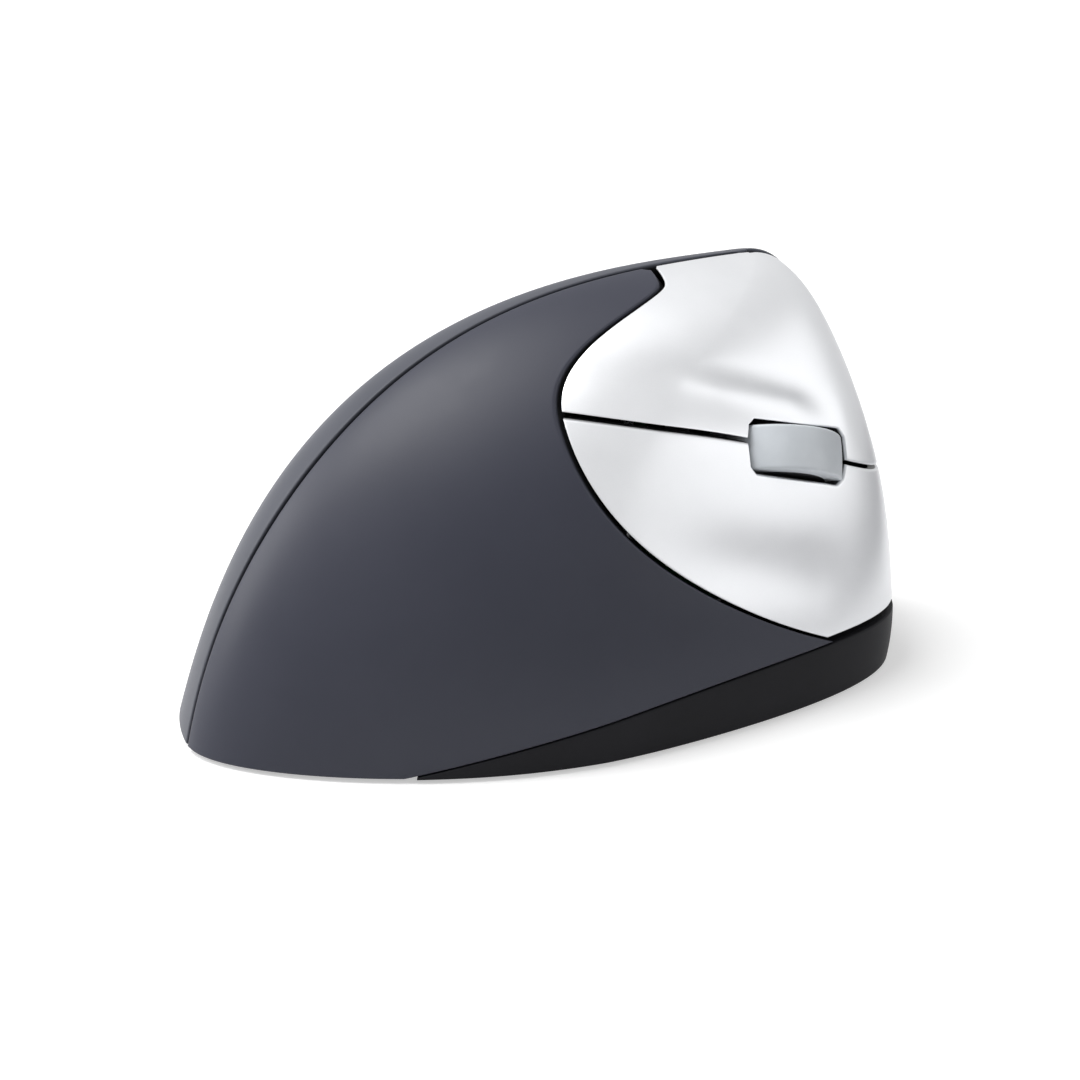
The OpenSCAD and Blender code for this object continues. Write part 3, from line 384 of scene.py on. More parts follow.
base_black = moulded_plastic("base_black", (0.01, 0.01, 0.012), (0.015, 0.015, 0.018), 0.5, 5200, 0.00004, 0.12)
dress(base_black, "base_plate")
SKIRT_FROM, SKIRT_TURN, SKIRT_OVER = -29.3, 238.6, 0.1
SKIRT_WALL, SKIRT_EDGE, SKIRT_PROUD = 0.8, 0.25, 0.12
skirt_points, skirt_quads = panel(
    lambda w, z: np.zeros_like(z) + SKIRT_FROM + SKIRT_TURN * w,
    lambda t, w: np.full_like(t, FOOT_Z - SKIRT_OVER), lambda t, w: rim_height(t) + SKIRT_OVER,
    np.linspace(0, 1, 222)[1:-1], np.linspace(0, 1, 12)[1:-1], SKIRT_WALL, SKIRT_EDGE, proud=SKIRT_PROUD)
make_piece("base_skirt", skirt_points, skirt_quads, base_black, "housing")


# Cell door: a cover of the same black plastic with four finger grips, moulded a little smoother than the
# tray. It snaps into the floor over the cell bay.
door_black = moulded_plastic("door_black", (0.024, 0.024, 0.027), (0.034, 0.034, 0.038), 0.44, 4300, 0.00003)
dress(door_black, "battery_door")


# Glide feet: pads of low-friction plastic, punched from sheet and glued into pockets of the floor. The desk
# polishes them.
glide_grey, glide_shader, glide_at = new_material("glide_grey")
glide_worn = glide_at.noise(900, 3, 0.6)
feed(glide_shader, Base_Color=glide_worn.between(0.35, 0.7).blend((0.46, 0.46, 0.47), (0.6, 0.6, 0.6)),
     Roughness=0.3 + glide_worn * 0.25, Normal=glide_at.noise(2600, 2).bump(0.2, 0.00003))
dress(glide_grey, "glide_feet")


# Circuit boards: glass-fibre board under green solder mask. The weave shows faintly through the mask and
# copper runs lift it; all three boards are cut from the same panel.
board_green, board_shader, board_at = new_material("board_green")
weave = board_at.node("ShaderNodeTexBrick", {"offset": 0.5}, {
    "Vector": board_at, "Scale": 260.0, "Mortar Size": 0.06,
    "Color1": (1, 1, 1, 1), "Color2": (0.8, 0.8, 0.8, 1), "Mortar": (0, 0, 0, 1)}, out=1)
copper = board_at.node("ShaderNodeTexVoronoi", {"distance": "CHEBYCHEV", "feature": "DISTANCE_TO_EDGE"},
                       {"Vector": board_at, "Scale": 340.0}).between(0.03, 0.05)
feed(board_shader, Base_Color=copper.blend((0.05, 0.24, 0.1), (0.018, 0.13, 0.055)),
     Roughness=0.28 + board_at.noise(300) * 0.14 + weave * 0.05,
     Normal=(copper * -0.6 + weave * 0.2).bump(0.4, 0.00005), Coat_Weight=0.3)
dress(board_green, "main_board", "finger_board", "thumb_board")


# Chip, sensor, encoder and switch bodies: black moulding compound and black thermoplastic with a dull fine
# grain, soldered to the boards.
switch_black = moulded_plastic("switch_black", (0.018, 0.018, 0.02), (0.03, 0.03, 0.034), 0.5, 6000, 0.00003)
dress(switch_black, "controller_chip", "optical_sensor", "index_switch", "middle_switch", "wheel_click_switch",
      "thumb_forward_switch", "thumb_back_switch", "wheel_encoder")


# Sensor lens: one clear block, moulded in acrylic and clipped over the hole in the floor, where the sensor
# looks through it.
lens_clear, lens_shader, lens_at = new_material("lens_clear")
feed(lens_shader, Base_Color=(0.86, 0.91, 0.95, 1), Roughness=0.06 + lens_at.noise(500) * 0.06,
     Normal=lens_at.noise(160).bump(0.1, 0.00005), Transmission_Weight=0.85, IOR=1.49)
dress(lens_clear, "sensor_lens")


# Slide switch: a stamped tin can soldered to the board's underside, and a moulded black knob that slides in
# the floor slot.
switch_metal, can_shader, can_at = new_material("switch_metal")
rolling = can_at.node("ShaderNodeMapping", {}, {"Vector": can_at, "Scale": (1, 0.05, 1)}).noise(5200, 2)
feed(can_shader, Base_Color=rolling.blend((0.5, 0.51, 0.52), (0.66, 0.67, 0.68)), Metallic=1.0,
     Roughness=0.3 + rolling * 0.2, Normal=rolling.bump(0.15, 0.00002))
dress(switch_metal, "power_switch")
knob_black = moulded_plastic("knob_black", (0.035, 0.035, 0.04), (0.05, 0.05, 0.056), 0.4, 5000, 0.00003)
dress(knob_black, "power_knob")


# Cell: a round steel can in a plain green plastic sleeve, shrunk on, with bare metal at the ends. It lies in
# the bay between the contacts.
cell_wrap, cell_shader, cell_at = new_material("cell_wrap")
along = cell_at.node("ShaderNodeSeparateXYZ", {}, {0: cell_at}, out=1)
bare = along.between(0.0128, 0.0132) + (1 - along.between(-0.0348, -0.0344))
wrinkle = cell_at.noise(240, 3)
sleeve = wrinkle.blend((0.1, 0.2, 0.11), (0.17, 0.29, 0.18))
feed(cell_shader, Base_Color=bare.blend(sleeve, (0.62, 0.63, 0.64)), Metallic=bare,
     Roughness=0.3 + wrinkle * 0.16, Normal=wrinkle.bump(0.15, 0.0001))
dress(cell_wrap, "battery_cell")


# Contacts: nickel-plated spring steel, a wound cone spring at one end of the cell bay and a flat stamped
# plate at the other.
contact_steel, nickel_shader, nickel_at = new_material("contact_steel")
drawn = nickel_at.noise(3200, 3, 0.6)
feed(nickel_shader, Base_Color=drawn.blend((0.55, 0.55, 0.54), (0.74, 0.73, 0.7)), Metallic=1.0,
     Roughness=0.22 + drawn * 0.2, Normal=drawn.bump(0.12, 0.00002))
dress(contact_steel, "battery_spring", "battery_contact")


# Chassis and wheel cradle: two mouldings of black glass-filled plastic. The chassis has the hinge posts, the
# arch and the plate for the finger board; the cradle holds the wheel.
frame_black = moulded_plastic("frame_black", (0.014, 0.014, 0.016), (0.024, 0.024, 0.027), 0.56, 3600, 0.00005)
dress(frame_black, "chassis", "wheel_cradle")


# Pins: ground steel rods, pressed into the chassis, one for both keys and one for the cradle. Grinding leaves
# rings round them.
pin_steel, pin_shader, pin_at = new_material("pin_steel")
rings = pin_at.noise(4200, 2)
feed(pin_shader, Base_Color=rings.blend((0.54, 0.55, 0.56), (0.7, 0.71, 0.72)), Metallic=1.0,
     Roughness=0.2 + rings * 0.18, Normal=rings.bump(0.1, 0.00002))
dress(pin_steel, "key_hinge_pin", "cradle_pin")


# Screws: headed and rolled steel with a zinc plating, dulled by the bath and brightened in the driver cross.
# They hold the case and the boards.
screw_steel, screw_shader, screw_at = new_material("screw_steel")
zinc = screw_at.noise(1500, 4, 0.65)
feed(screw_shader, Base_Color=zinc.blend((0.34, 0.35, 0.37), (0.54, 0.55, 0.57)), Metallic=1.0,
     Roughness=0.3 + zinc * 0.24, Normal=zinc.bump(0.2, 0.00004))
dress(screw_steel, "case_screws", "board_screws")


# Plungers: small red buttons, moulded in hard plastic and held in the two key switches. The keys press on
# them.
plunger_red = moulded_plastic("plunger_red", (0.5, 0.09, 0.05), (0.64, 0.14, 0.08), 0.38, 5200, 0.00002)
dress(plunger_red, "index_plunger", "middle_plunger")


# Flat cable: white film, laminated over conductors that lie side by side and show as fine ridges. It joins
# the boards.
cable_white, cable_shader, cable_at = new_material("cable_white")
strands = cable_at.node("ShaderNodeTexWave", {"bands_direction": "Y"},
                        {"Vector": cable_at, "Scale": 320.0}, out=1)
feed(cable_shader, Base_Color=strands.blend((0.6, 0.6, 0.57), (0.78, 0.78, 0.76)),
     Roughness=0.42 + strands * 0.1, Normal=strands.bump(0.4, 0.0001))
dress(cable_white, "ribbon_cable")


# Wheel: a hard black hub with its axle, and a light grey rubber tyre moulded over it as a smooth barrel. The
# axle turns in the cradle.
hub_black = moulded_plastic("hub_black", (0.03, 0.03, 0.034), (0.045, 0.045, 0.05), 0.45, 4600, 0.00004)
dress(hub_black, "wheel_hub")
FINGER_N = np.array([0.828184, 0.253201, 0.5])
FINGER_L = np.array([-0.111202, 0.948631, -0.296198])
FINGER_U = np.array([-0.549313, 0.189706, 0.813798])
FINGER_O = np.array([18.1396, 38.0, 39.6])
AXLE_DEPTH = 7.7


def barrel(radius, width, bore, crown, corner, steps=160):
    """Tyre of revolution about the wheel axle: a crowned tread whose corners roll over, flat sides and a bore.
    The profile is radius over width; it is carried round the axle in equal steps."""
    a = np.radians(np.linspace(0, 90, 7))
    half = width / 2
    run = np.linspace(-1, 1, 25)[1:-1] * (half - corner)
    tread = np.stack([run, radius - crown * (run / half) ** 2], -1)
    shoulder = radius - crown * ((half - corner) / half) ** 2 - corner
    turn = np.stack([half - corner + corner * np.sin(a), shoulder + corner * np.cos(a)], -1)
    rounds = np.concatenate([turn[::-1] * [-1, 1], tread, turn])
    loop = np.concatenate([[[-half, bore]], rounds, [[half, bore]]])
    spin = np.linspace(0, 2 * np.pi, steps, endpoint=False)[:, None, None]
    centre = FINGER_O - AXLE_DEPTH * FINGER_N
    points = (centre + loop[:, 0, None] * FINGER_U
              + loop[:, 1, None] * (np.cos(spin) * FINGER_N + np.sin(spin) * FINGER_L))
    n = len(loop)
    ids = np.arange(steps * n).reshape(steps, n)
    turn_next, loop_next = np.roll(ids, -1, 0), np.roll(ids, -1, 1)
    quads = np.stack([ids, turn_next, np.roll(turn_next, -1, 1), loop_next], -1).reshape(-1, 4)
    return points.reshape(-1, 3), quads


wheel_rubber, tyre_shader, tyre_at = new_material("wheel_rubber")
bloom = tyre_at.noise(160, 3)
dusting = tyre_at.noise(3800, 2)
feed(tyre_shader, Base_Color=bloom.between(0.3, 0.7).blend((0.66, 0.7, 0.74), (0.74, 0.78, 0.82)),
     Roughness=0.36 + bloom * 0.14, Normal=dusting.bump(0.12, 0.00003), Subsurface_Weight=0.15,
     Subsurface_Radius=(0.002, 0.002, 0.002), Coat_Weight=0.15)
tyre_points, tyre_quads = barrel(radius=11.0, width=7.0, bore=8.2, crown=0.2, corner=0.45)
make_piece("tyre", tyre_points, tyre_quads, wheel_rubber, "wheel", ["wheel_tyre"])


# Finger keys: two thin plastic mouldings in satin silver metallic paint, parted along the wheel line, with
# finger grooves pressed into them. They hang on one pin at the rear, and the wheel stands in a chamfered
# slot between them.
KEY_GAP, NOSE_GAP, SPLIT_BELOW, PEAK_ROOM = 0.45, 0.6, 0.65, 0.004
KEY_WALL, KEY_EDGE, KEY_FOOT = 1.6, 0.3, 1.3
def end_share(y, z):
    """Share of the way from the widest place of the slice to its rear or front end at which y lies."""
    m = widest_y(np.clip(z / BODY_H, 0, 1))
    back = (m - y) / np.maximum(m - rear_edge(z, 0), 1e-6)
    ahead = (y - m) / np.maximum(front_edge(z, 0) - m, 1e-6)
    return np.clip(np.where(y < m, back, ahead), 0, 1), y < m


def right_angle(y, z):
    """Slice angle on the finger side at which the slice at height z reaches y."""
    k, rear = end_share(y, z)
    corner = (1 - k ** CORNER_RIGHT) ** (1 / CORNER_RIGHT)
    return np.where(rear, -np.degrees(np.arcsin(k)), np.degrees(np.arctan2(k, corner)))


BORDER_Y, BORDER_Z, BORDER_FRONT, BORDER_ROUND = -0.2, 48.0, 23.4, 3.0
BORDER_LOW, BORDER_HIGH = (0.05, 1.85), (0.0345, 2.5)


def key_border(z):
    """Where the keys end against the palm shell: a power curve below and above its rearmost point. The upper
    one bends smoothly into a straight line up to the peak."""
    d = z - BORDER_Z
    low, high = (rate * np.abs(d) ** power for rate, power in (BORDER_LOW, BORDER_HIGH))
    y = BORDER_Y + np.where(d < 0, low, high)
    over = y - BORDER_FRONT
    return np.where(d < 0, y, (y + BORDER_FRONT - np.sqrt(over * over + BORDER_ROUND)) / 2)


def gap_angle(gap, reach):
    """Angle that leaves a gap in millimetres beside a seam, for the given reach of the slice."""
    return np.degrees(np.arcsin(np.clip(gap / np.maximum(0.01, reach), -0.9, 0.9)))


SEAM_SHIFT = 2.0


def crest_edge(z, gap):
    """Angle of an edge beside the crest seam, on the finger side for a gap above 0 and on the thumb side below
    0. The seam itself bows towards the finger side at mid height."""
    f = np.clip(z / BODY_H, 0, 1)
    place = gap + SEAM_SHIFT * np.sin(np.pi * f ** 1.6) ** 1.2
    finger = (1 + REAR_RIGHT) * (right_reach(f) - seam_side(f))
    thumb = (1 + REAR_LEFT) * (seam_side(f) - left_reach(f))
    return -90 + gap_angle(place, np.where(place > 0, finger, thumb))


def nose_right(z, gap):
    """Angle of an edge beside the nose seam on the finger side."""
    f = np.clip(z / BODY_H, 0, 1)
    return 90 - gap_angle(gap, (1 - TAPER_RIGHT) * (right_reach(f) - nose_seam(f)))


def in_finger_frame(points):
    """How far along the wheel slot and how far along the axle points lie."""
    d = points - FINGER_O
    return d @ FINGER_L, d @ FINGER_U


def split_line(t):
    """Height of the split at slice angle t, settled by walking back and forth between height and length."""
    z = np.full_like(t, 44.0)
    for _ in range(5):
        z = split_height(skin(t, z)[..., 1])
    return z


TABLE_TOP, TABLE_TALL = 62.995, 55.0
UPRIGHT_RUN, UPRIGHT_SHARE = 26.0, 0.55
EVEN_FROM, EVEN_RUN = 56.0, 16.0


def key_angles(left, right):
    """Columns of a key by their distance over the surface from the nose edge. The front columns keep their
    distance at every height, so they stand upright beside the wheel; the rest share what the border leaves.
    Towards the peak the columns turn into even shares of the angle. The angles are tabled over height and
    share, and looked up between the lines of the table."""
    z = TABLE_TOP - TABLE_TALL * np.linspace(1, 0, 320) ** 2
    share = np.linspace(0, 1, 241)
    t = left(z)[:, None] * (1 - share) + right(z)[:, None] * share
    steps = np.linalg.norm(np.diff(skin(t, z[:, None]), axis=1), axis=-1)
    run = np.concatenate([np.cumsum(steps[:, ::-1], 1)[:, ::-1], np.zeros((len(z), 1))], 1)
    whole = run[:, :1]
    free = np.minimum(UPRIGHT_RUN, UPRIGHT_SHARE * whole)
    wanted = (1 - share) * whole.max()
    wanted = np.where(wanted < free, wanted, free + (wanted - free) * (whole - free) / (whole.max() - free))
    table = np.stack([np.interp(d, r[::-1], a[::-1]) for d, r, a in zip(wanted, run, t)])
    table = t + (table - t) * ease((EVEN_FROM - z) / EVEN_RUN)[:, None]

    def angle_at(w, height):
        w, height = np.broadcast_arrays(np.asarray(w, float), height)
        a = np.interp(height, z, np.arange(len(z)))
        b = w * (len(share) - 1)
        i, j = np.minimum(a.astype(int), len(z) - 2), np.minimum(b.astype(int), len(share) - 2)
        a, b = a - i, b - j
        return ((table[i, j] * (1 - b) + table[i, j + 1] * b) * (1 - a)
                + (table[i + 1, j] * (1 - b) + table[i + 1, j + 1] * b) * a)
    return angle_at


SLOT_LINES = np.array([7.6, 8, 8.4, 8.8, 9.15, 9.28, 9.4, 9.52, 9.65, 10, 10.6])


def key_columns(angle_at, count):
    """Shares for the columns of a key: even ones, and lines at the ends and chamfers of the wheel slot. Also
    the place along the slot that each share has on the split."""
    share = np.linspace(0, 1, 801)
    z = np.full_like(share, 44.0)
    for _ in range(20):
        t = angle_at(share, z)
        z = (z + split_line(t)) / 2
    y = in_finger_frame(skin(t, z))[0]
    marks = np.concatenate([-SLOT_LINES[::-1], SLOT_LINES])
    even = np.linspace(y[0], y[-1], count)[1:-1]
    even = even[np.min(np.abs(even[:, None] - marks), 1) > 0.3]
    places = np.sort(np.concatenate([even, marks]))
    return np.interp(places, y, share), lambda w: np.interp(w, share, y)


SLOT_END, SLOT_HALF, SLOT_CHAMFER, SLOT_RUN = 9.15, 4.4, 1.2, 0.5
AXLE_RATE = 1.25


def slot_line(place, side):
    """Edge of a key along the split (side 1 above, -1 below): the upper key ends at the split, the lower one a
    gap below it, and each goes round half of the wheel slot with its chamfers."""
    gap = 0.0 if side > 0 else SPLIT_BELOW

    def line(t, w):
        split = split_line(t)
        end = np.abs(place(w))
        half = np.interp(end, [SLOT_END - SLOT_CHAMFER, SLOT_END], [SLOT_HALF, SLOT_HALF - SLOT_CHAMFER])
        z = split + side * half / AXLE_RATE
        for _ in range(8):
            z = z + (side * half - in_finger_frame(skin(t, z))[1]) / AXLE_RATE
        share = np.interp(end, [SLOT_END, SLOT_END + SLOT_RUN], [1, 0])
        return split + side * gap + (z - split - side * gap) * share
    return line


STEER_TALL, STEER_FADE = 14.0, 9.5
STEER_REAR, STEER_RUN, STEER_FRONT = 22.0, 11.2, 10.0


def slot_steer(place):
    """Turns the columns near the wheel slot so that they run along the axle and its ends stay straight."""
    def steer(w, t, z):
        at = place(w)
        y = in_finger_frame(skin(t, z))[0]
        rate = (in_finger_frame(skin(t + 0.02, z))[0] - in_finger_frame(skin(t - 0.02, z))[0]) / 0.04
        near = (STEER_TALL - np.abs(z - split_line(t))) / STEER_FADE
        front = place(1.0)
        close = np.where(at < 0, (at + STEER_REAR) / STEER_RUN, (front - at) / (front - STEER_FRONT))
        return ease(near) * ease(close) * (at - y) / np.where(np.abs(rate) < 0.05, 1.0, rate)
    return steer


RAW_BLACK_AND_GAP_SHADE = (0.012, 0.012, 0.013)
key_silver, silver_shader, silver_at = new_material("key_silver")
flake = silver_at.noise(9000, 1)
mottle = silver_at.noise(130, 3)
peel = silver_at.noise(1100, 2)
rub = silver_at.noise(260, 4, 0.65).between(0.6, 0.78)
# Raw black back and edge walls; on the walls the black is also painted shade for the gaps round the keys.
paint = silver_at.coat()
silver = (mottle * 0.5 + flake * 0.5).between(0.3, 0.7).blend((0.77, 0.78, 0.8), (0.82, 0.83, 0.85))
feed(silver_shader, Base_Color=paint.blend(RAW_BLACK_AND_GAP_SHADE, silver), Metallic=paint * 0.72,
     Roughness=0.36 + (mottle - 0.5) * 0.05 + (flake - 0.5) * 0.1 - rub * 0.02,
     Normal=(peel * 0.6 + flake * 0.4).bump(0.1, 0.00003))


def index_left(z):
    return np.maximum(crest_edge(z, KEY_GAP), right_angle(key_border(z) + KEY_GAP, z))


def middle_left(z):
    return right_angle(key_border(z) + KEY_GAP, z)


def nose_side(z):
    return nose_right(z, NOSE_GAP)


index_angles = key_angles(index_left, nose_side)
index_shares, index_place = key_columns(index_angles, 96)
index_points, index_quads = panel(
    index_angles, slot_line(index_place, 1), lambda t, w: np.full_like(t, BODY_H - PEAK_ROOM),
    index_shares, 1 - (1 - np.linspace(0, 1, 72)[1:-1]) ** 2.2, KEY_WALL, KEY_EDGE,
    steer=slot_steer(index_place))
make_piece("index_key_skin", index_points, index_quads, key_silver, "index_key", ["index_button"])
middle_angles = key_angles(middle_left, nose_side)
middle_shares, middle_place = key_columns(middle_angles, 96)
middle_points, middle_quads = panel(
    middle_angles, lambda t, w: rim_height(t) + KEY_FOOT, slot_line(middle_place, -1),
    middle_shares, np.linspace(0, 1, 72)[1:-1], KEY_WALL, KEY_EDGE, steer=slot_steer(middle_place))
make_piece("middle_key_skin", middle_points, middle_quads, key_silver, "middle_key",
           ["middle_button"])


# Palm shell: the large dark shell on the finger side, a 2 mm moulding in soft-touch paint. It is screwed to
# the base posts from below and parts from the thumb shell along the crest.
def soft_touch(name, dark, light, rough):
    """Soft-touch paint: a matte rubbery coat with a very fine tooth, cloudy sheen and a little hand polish."""
    made, shader, at = new_material(name)
    cloud = at.noise(38, 3)
    tooth = at.noise(7200, 2)
    polish = at.noise(90, 5, 0.62).between(0.52, 0.75)
    paint = (cloud * 0.8 + tooth * 0.2).between(0.35, 0.65).blend(dark, light)
    # Raw black back and edge walls; on the walls the black is also painted shade for the seams and openings.
    feed(shader, Base_Color=at.coat().blend(RAW_BLACK_AND_GAP_SHADE, paint),
         Roughness=rough + (cloud - 0.5) * 0.08 - polish * 0.05,
         Normal=tooth.bump(0.22, 0.00003), Specular_IOR_Level=0.3)
    return made


def palm_front(z):
    """Angle of the shell's edge along the key border; below the border's foot it stays at the foot's angle."""
    z = np.maximum(z, 9.6)
    return right_angle(key_border(z) - KEY_GAP, z)


SEAM_GAP, SHELL_WALL, SHELL_EDGE, SHELL_FOOT = 0.36, 2.0, 0.28, 0.3


def shell_foot(t, w=None):
    """Lower edge of both shells: just over the base rim, or the foot where there is no rim."""
    return np.maximum(FOOT_Z, rim_height(t) + SHELL_FOOT)


palm_grey = soft_touch("palm_grey", (0.036, 0.0385, 0.056), (0.043, 0.0455, 0.064), 0.44)
PALM_TOP = 0.45
palm_points, palm_quads = panel(
    spread(lambda z: crest_edge(z, SEAM_GAP), palm_front),
    shell_foot, lambda t, w: np.full_like(t, BODY_H - PALM_TOP),
    np.linspace(0, 1, 120)[1:-1], 1 - (1 - np.linspace(0, 1, 96)[1:-1]) ** 1.9, SHELL_WALL, SHELL_EDGE)
make_piece("palm_skin", palm_points, palm_quads, palm_grey, "housing", ["palm_shell"])


# Thumb shell: the lighter shell on the far side, same coat, from the nose seam round to the crest seam, with
# two openings for the thumb buttons.
def nose_left(z, gap):
    """Angle of an edge beside the nose seam on the thumb side."""
    f = np.clip(z / BODY_H, 0, 1)
    return 90 + gap_angle(gap, (1 - TAPER_LEFT) * (nose_seam(f) - left_reach(f)))


def thumb_side(z):
    return nose_left(z, NOSE_GAP)


def thumb_crest(z):
    return 360 + crest_edge(z, -SEAM_GAP)


BUTTON_SPANS = np.array([[13, 16], [17, 20]]) / 32
BUTTON_ROWS = np.array([0.525, 0.67])
THUMB_ROUND, THUMB_TALL = 128.0, 54.0
OPENING_EDGE = 0.3
lip = OPENING_EDGE * RIM_LINES
span_lines = np.concatenate([(BUTTON_SPANS[:, :1] - lip / THUMB_ROUND).ravel(),
                             (BUTTON_SPANS[:, 1:] + lip / THUMB_ROUND).ravel()])
row_lines = np.concatenate([BUTTON_ROWS[0] - lip / THUMB_TALL, BUTTON_ROWS[1] + lip / THUMB_TALL])


def clear_of(even, marks, room):
    """Even lines with those too near to marked lines left out, and the marked lines added."""
    kept = even[np.min(np.abs(even[:, None] - marks), 1) > room]
    return np.sort(np.concatenate([kept, marks]))


def button_openings(w, v):
    """Distance of each grid point from the nearest button opening, and which cells lie inside one."""
    du = np.min(np.maximum(np.maximum(BUTTON_SPANS[:, :1] - w, w - BUTTON_SPANS[:, 1:]), 0), 0) * THUMB_ROUND
    dv = np.maximum(np.maximum(BUTTON_ROWS[0] - v, v - BUTTON_ROWS[1]), 0) * THUMB_TALL
    mid_w, mid_v = (w[1:] + w[:-1]) / 2, (v[1:] + v[:-1]) / 2
    in_span = np.any((mid_w > BUTTON_SPANS[:, :1]) & (mid_w < BUTTON_SPANS[:, 1:]), 0)
    in_row = (mid_v > BUTTON_ROWS[0]) & (mid_v < BUTTON_ROWS[1])
    return np.hypot(du[None, :], dv[:, None]), in_row[:, None] & in_span[None, :]


thumb_grey = soft_touch("thumb_grey", (0.062, 0.066, 0.082), (0.072, 0.076, 0.094), 0.46)
thumb_rows = 1 - (1 - np.linspace(0, 1, 110)[1:-1]) ** 1.8
thumb_points, thumb_quads = panel(
    spread(thumb_side, thumb_crest), shell_foot, lambda t, w: np.full_like(t, BODY_H - PEAK_ROOM),
    clear_of(np.linspace(0, 1, 150)[1:-1], span_lines, 0.003), clear_of(thumb_rows, row_lines, 0.004),
    SHELL_WALL, SHELL_EDGE, opening=button_openings)
make_piece("thumb_skin", thumb_points, thumb_quads, thumb_grey, "housing", ["thumb_shell"])


# Thumb buttons: two satin black keys that stand a little proud of the thumb shell and slide straight in on
# their posts.
button_black = moulded_plastic("button_black", (0.028, 0.028, 0.032), (0.042, 0.042, 0.047), 0.4, 4800, 0.00003)


CAP_ROOM, CAP_ROW_ROOM, CAP_LIFT = 0.0035, 0.008, 0.15
CAP_WALL, CAP_EDGE, CAP_PROUD = 1.3, 0.6, 0.9


def thumb_button(name, span, body, node):
    """A crowned key over its opening, clear of it all round and proud of the shell, with well rounded edges."""
    u0, u1 = span + np.array([CAP_ROOM, -CAP_ROOM])
    v0, v1 = BUTTON_ROWS + np.array([CAP_ROW_ROOM, -CAP_ROW_ROOM])

    def angle(z, u):
        return thumb_side(z) * (1 - u) + thumb_crest(z) * u

    def height(t, v):
        return shell_foot(t) * (1 - v) + BODY_H * v + CAP_LIFT

    points, quads = panel(lambda w, z: angle(z, u0 + (u1 - u0) * w), lambda t, w: height(t, v0),
                          lambda t, w: height(t, v1), np.linspace(0, 1, 34)[1:-1], np.linspace(0, 1, 20)[1:-1],
                          CAP_WALL, CAP_EDGE, proud=CAP_PROUD)
    make_piece(name, points, quads, button_black, body, [node])


thumb_button("thumb_forward_cap", BUTTON_SPANS[0], "thumb_forward_key", "thumb_forward_button")
thumb_button("thumb_back_cap", BUTTON_SPANS[1], "thumb_back_key", "thumb_back_button")


# Studio: a white table that runs out of the picture, a white surround, and soft boxes above, behind and on
# the key side.
def seen_rays(tree, share):
    """1 for camera rays, share for mirrored and transmitted ones, and 0 for the rest."""
    rays = tree.nodes.new("ShaderNodeLightPath").outputs
    seen = Signal(tree, rays["Is Camera Ray"])
    for ray in ("Is Glossy Ray", "Is Transmission Ray"):
        seen = seen.math("MAXIMUM", seen, share * Signal(tree, rays[ray]))
    return seen


floor_white, floor_shader, floor_at = new_material("floor_white")
seen = seen_rays(floor_at.tree, 1.0)
paper = floor_at.noise(30, 2)
feed(floor_shader, Base_Color=paper.blend((0.71, 0.71, 0.71), (0.73, 0.73, 0.73)), Roughness=0.9,
     Specular_IOR_Level=0.0, Emission_Color=seen.blend((0, 0, 0), (0.48, 0.48, 0.48)), Emission_Strength=1.0)
FLOOR_HALF = 6.0
floor_mesh = bpy.data.meshes.new("floor")
floor_corners = [(i * FLOOR_HALF, j * FLOOR_HALF, 0) for i, j in ((-1, -1), (1, -1), (1, 1), (-1, 1))]
floor_mesh.from_pydata(floor_corners, [], [(0, 1, 2, 3)])
floor_mesh.materials.append(floor_white)
floor = bpy.data.objects.new("floor", floor_mesh)
bpy.context.scene.collection.objects.link(floor)

world = bpy.data.worlds.new("studio")
bpy.context.scene.world = world
world.use_nodes = True
backdrop = world.node_tree.nodes["Background"]
backdrop.inputs["Color"].default_value = (1, 1, 1, 1)
MIRRORED_SHARE, LEAST_GLOW = 0.78, 0.25
shown = seen_rays(world.node_tree, MIRRORED_SHARE)
glow = LEAST_GLOW + shown * (1 - LEAST_GLOW)
world.node_tree.links.new(glow.socket, backdrop.inputs["Strength"])


def lamp(name, place, target, size, power):
    """A square soft box at a place, turned to a target, in metres and watts."""
    light = bpy.data.lights.new(name, "AREA")
    light.shape, light.size, light.energy = "SQUARE", size, power
    holder = bpy.data.objects.new(name, light)
    holder.location = place
    holder.rotation_euler = (Vector(target) - Vector(place)).to_track_quat("-Z", "Y").to_euler()
    bpy.context.scene.collection.objects.link(holder)


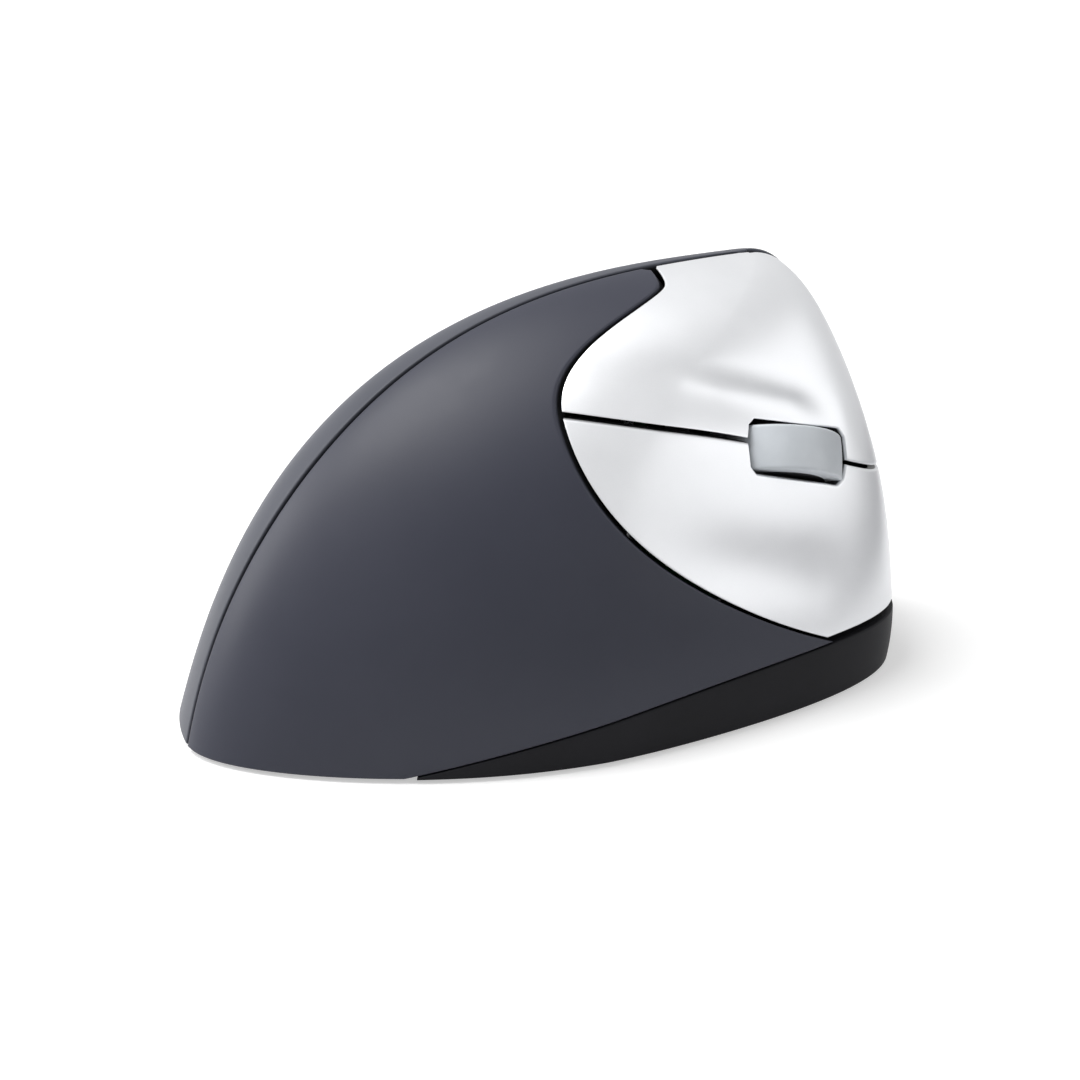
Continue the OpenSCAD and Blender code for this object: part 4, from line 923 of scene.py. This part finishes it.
lamp("top_box", (-0.18, -0.3, 0.92), (0.0, 0.0, 0.03), 0.5, 7.5)
lamp("rear_box", (-0.4, -0.8, 0.45), (0.0, 0.0, 0.03), 0.6, 6.0)
lamp("key_box", (0.52, 0.8, 0.36), (0.0, 0.03, 0.04), 0.8, 1.7)


# Dark cloth on the table beside the picture: it puts a soft grey into the low parts of the silver. Seen
# directly it is as white as the table.
cloth_grey, cloth_shader, cloth_at = new_material("cloth_grey")
direct = cloth_at.node("ShaderNodeLightPath", {}, {})
feed(cloth_shader, Base_Color=cloth_at.noise(400, 3).blend((0.3, 0.3, 0.31), (0.36, 0.36, 0.37)),
     Roughness=0.95, Specular_IOR_Level=0.1,
     Emission_Color=direct.blend((0, 0, 0), (0.85, 0.85, 0.85)), Emission_Strength=1.0)
cloth_along, cloth_out = np.array([0.88, -0.474, 0]) * 0.28, np.array([0.474, 0.88, 0]) * 0.16
cloth_centre = np.array([0.161, 0.218, 0.00005])
cloth_corners = cloth_centre + [
    -cloth_along - cloth_out, cloth_along - cloth_out, cloth_along + cloth_out, cloth_out - cloth_along]
cloth_mesh = bpy.data.meshes.new("cloth")
cloth_mesh.from_pydata(cloth_corners.tolist(), [], [(0, 1, 2, 3)])
cloth_mesh.materials.append(cloth_grey)
cloth = bpy.data.objects.new("cloth", cloth_mesh)
bpy.context.scene.collection.objects.link(cloth)

# Camera: a long lens 20 degrees behind the finger side and 25 degrees up, in metres from the part.
CAMERA_AWAY = 0.552
CAMERA_SIDE = Vector((0.85165, -0.30998, 0.42262))
camera_data = bpy.data.cameras.new("camera")
camera_data.lens = 122
camera_data.sensor_width = 36
camera = bpy.data.objects.new("camera", camera_data)
aim = Vector((0.018, -0.0044, 0.0313))
camera.location = aim + CAMERA_AWAY * CAMERA_SIDE
camera.rotation_euler = (aim - camera.location).to_track_quat("-Z", "Y").to_euler()
bpy.context.scene.collection.objects.link(camera)
bpy.context.scene.camera = camera
bpy.context.scene.view_settings.view_transform = "Standard"
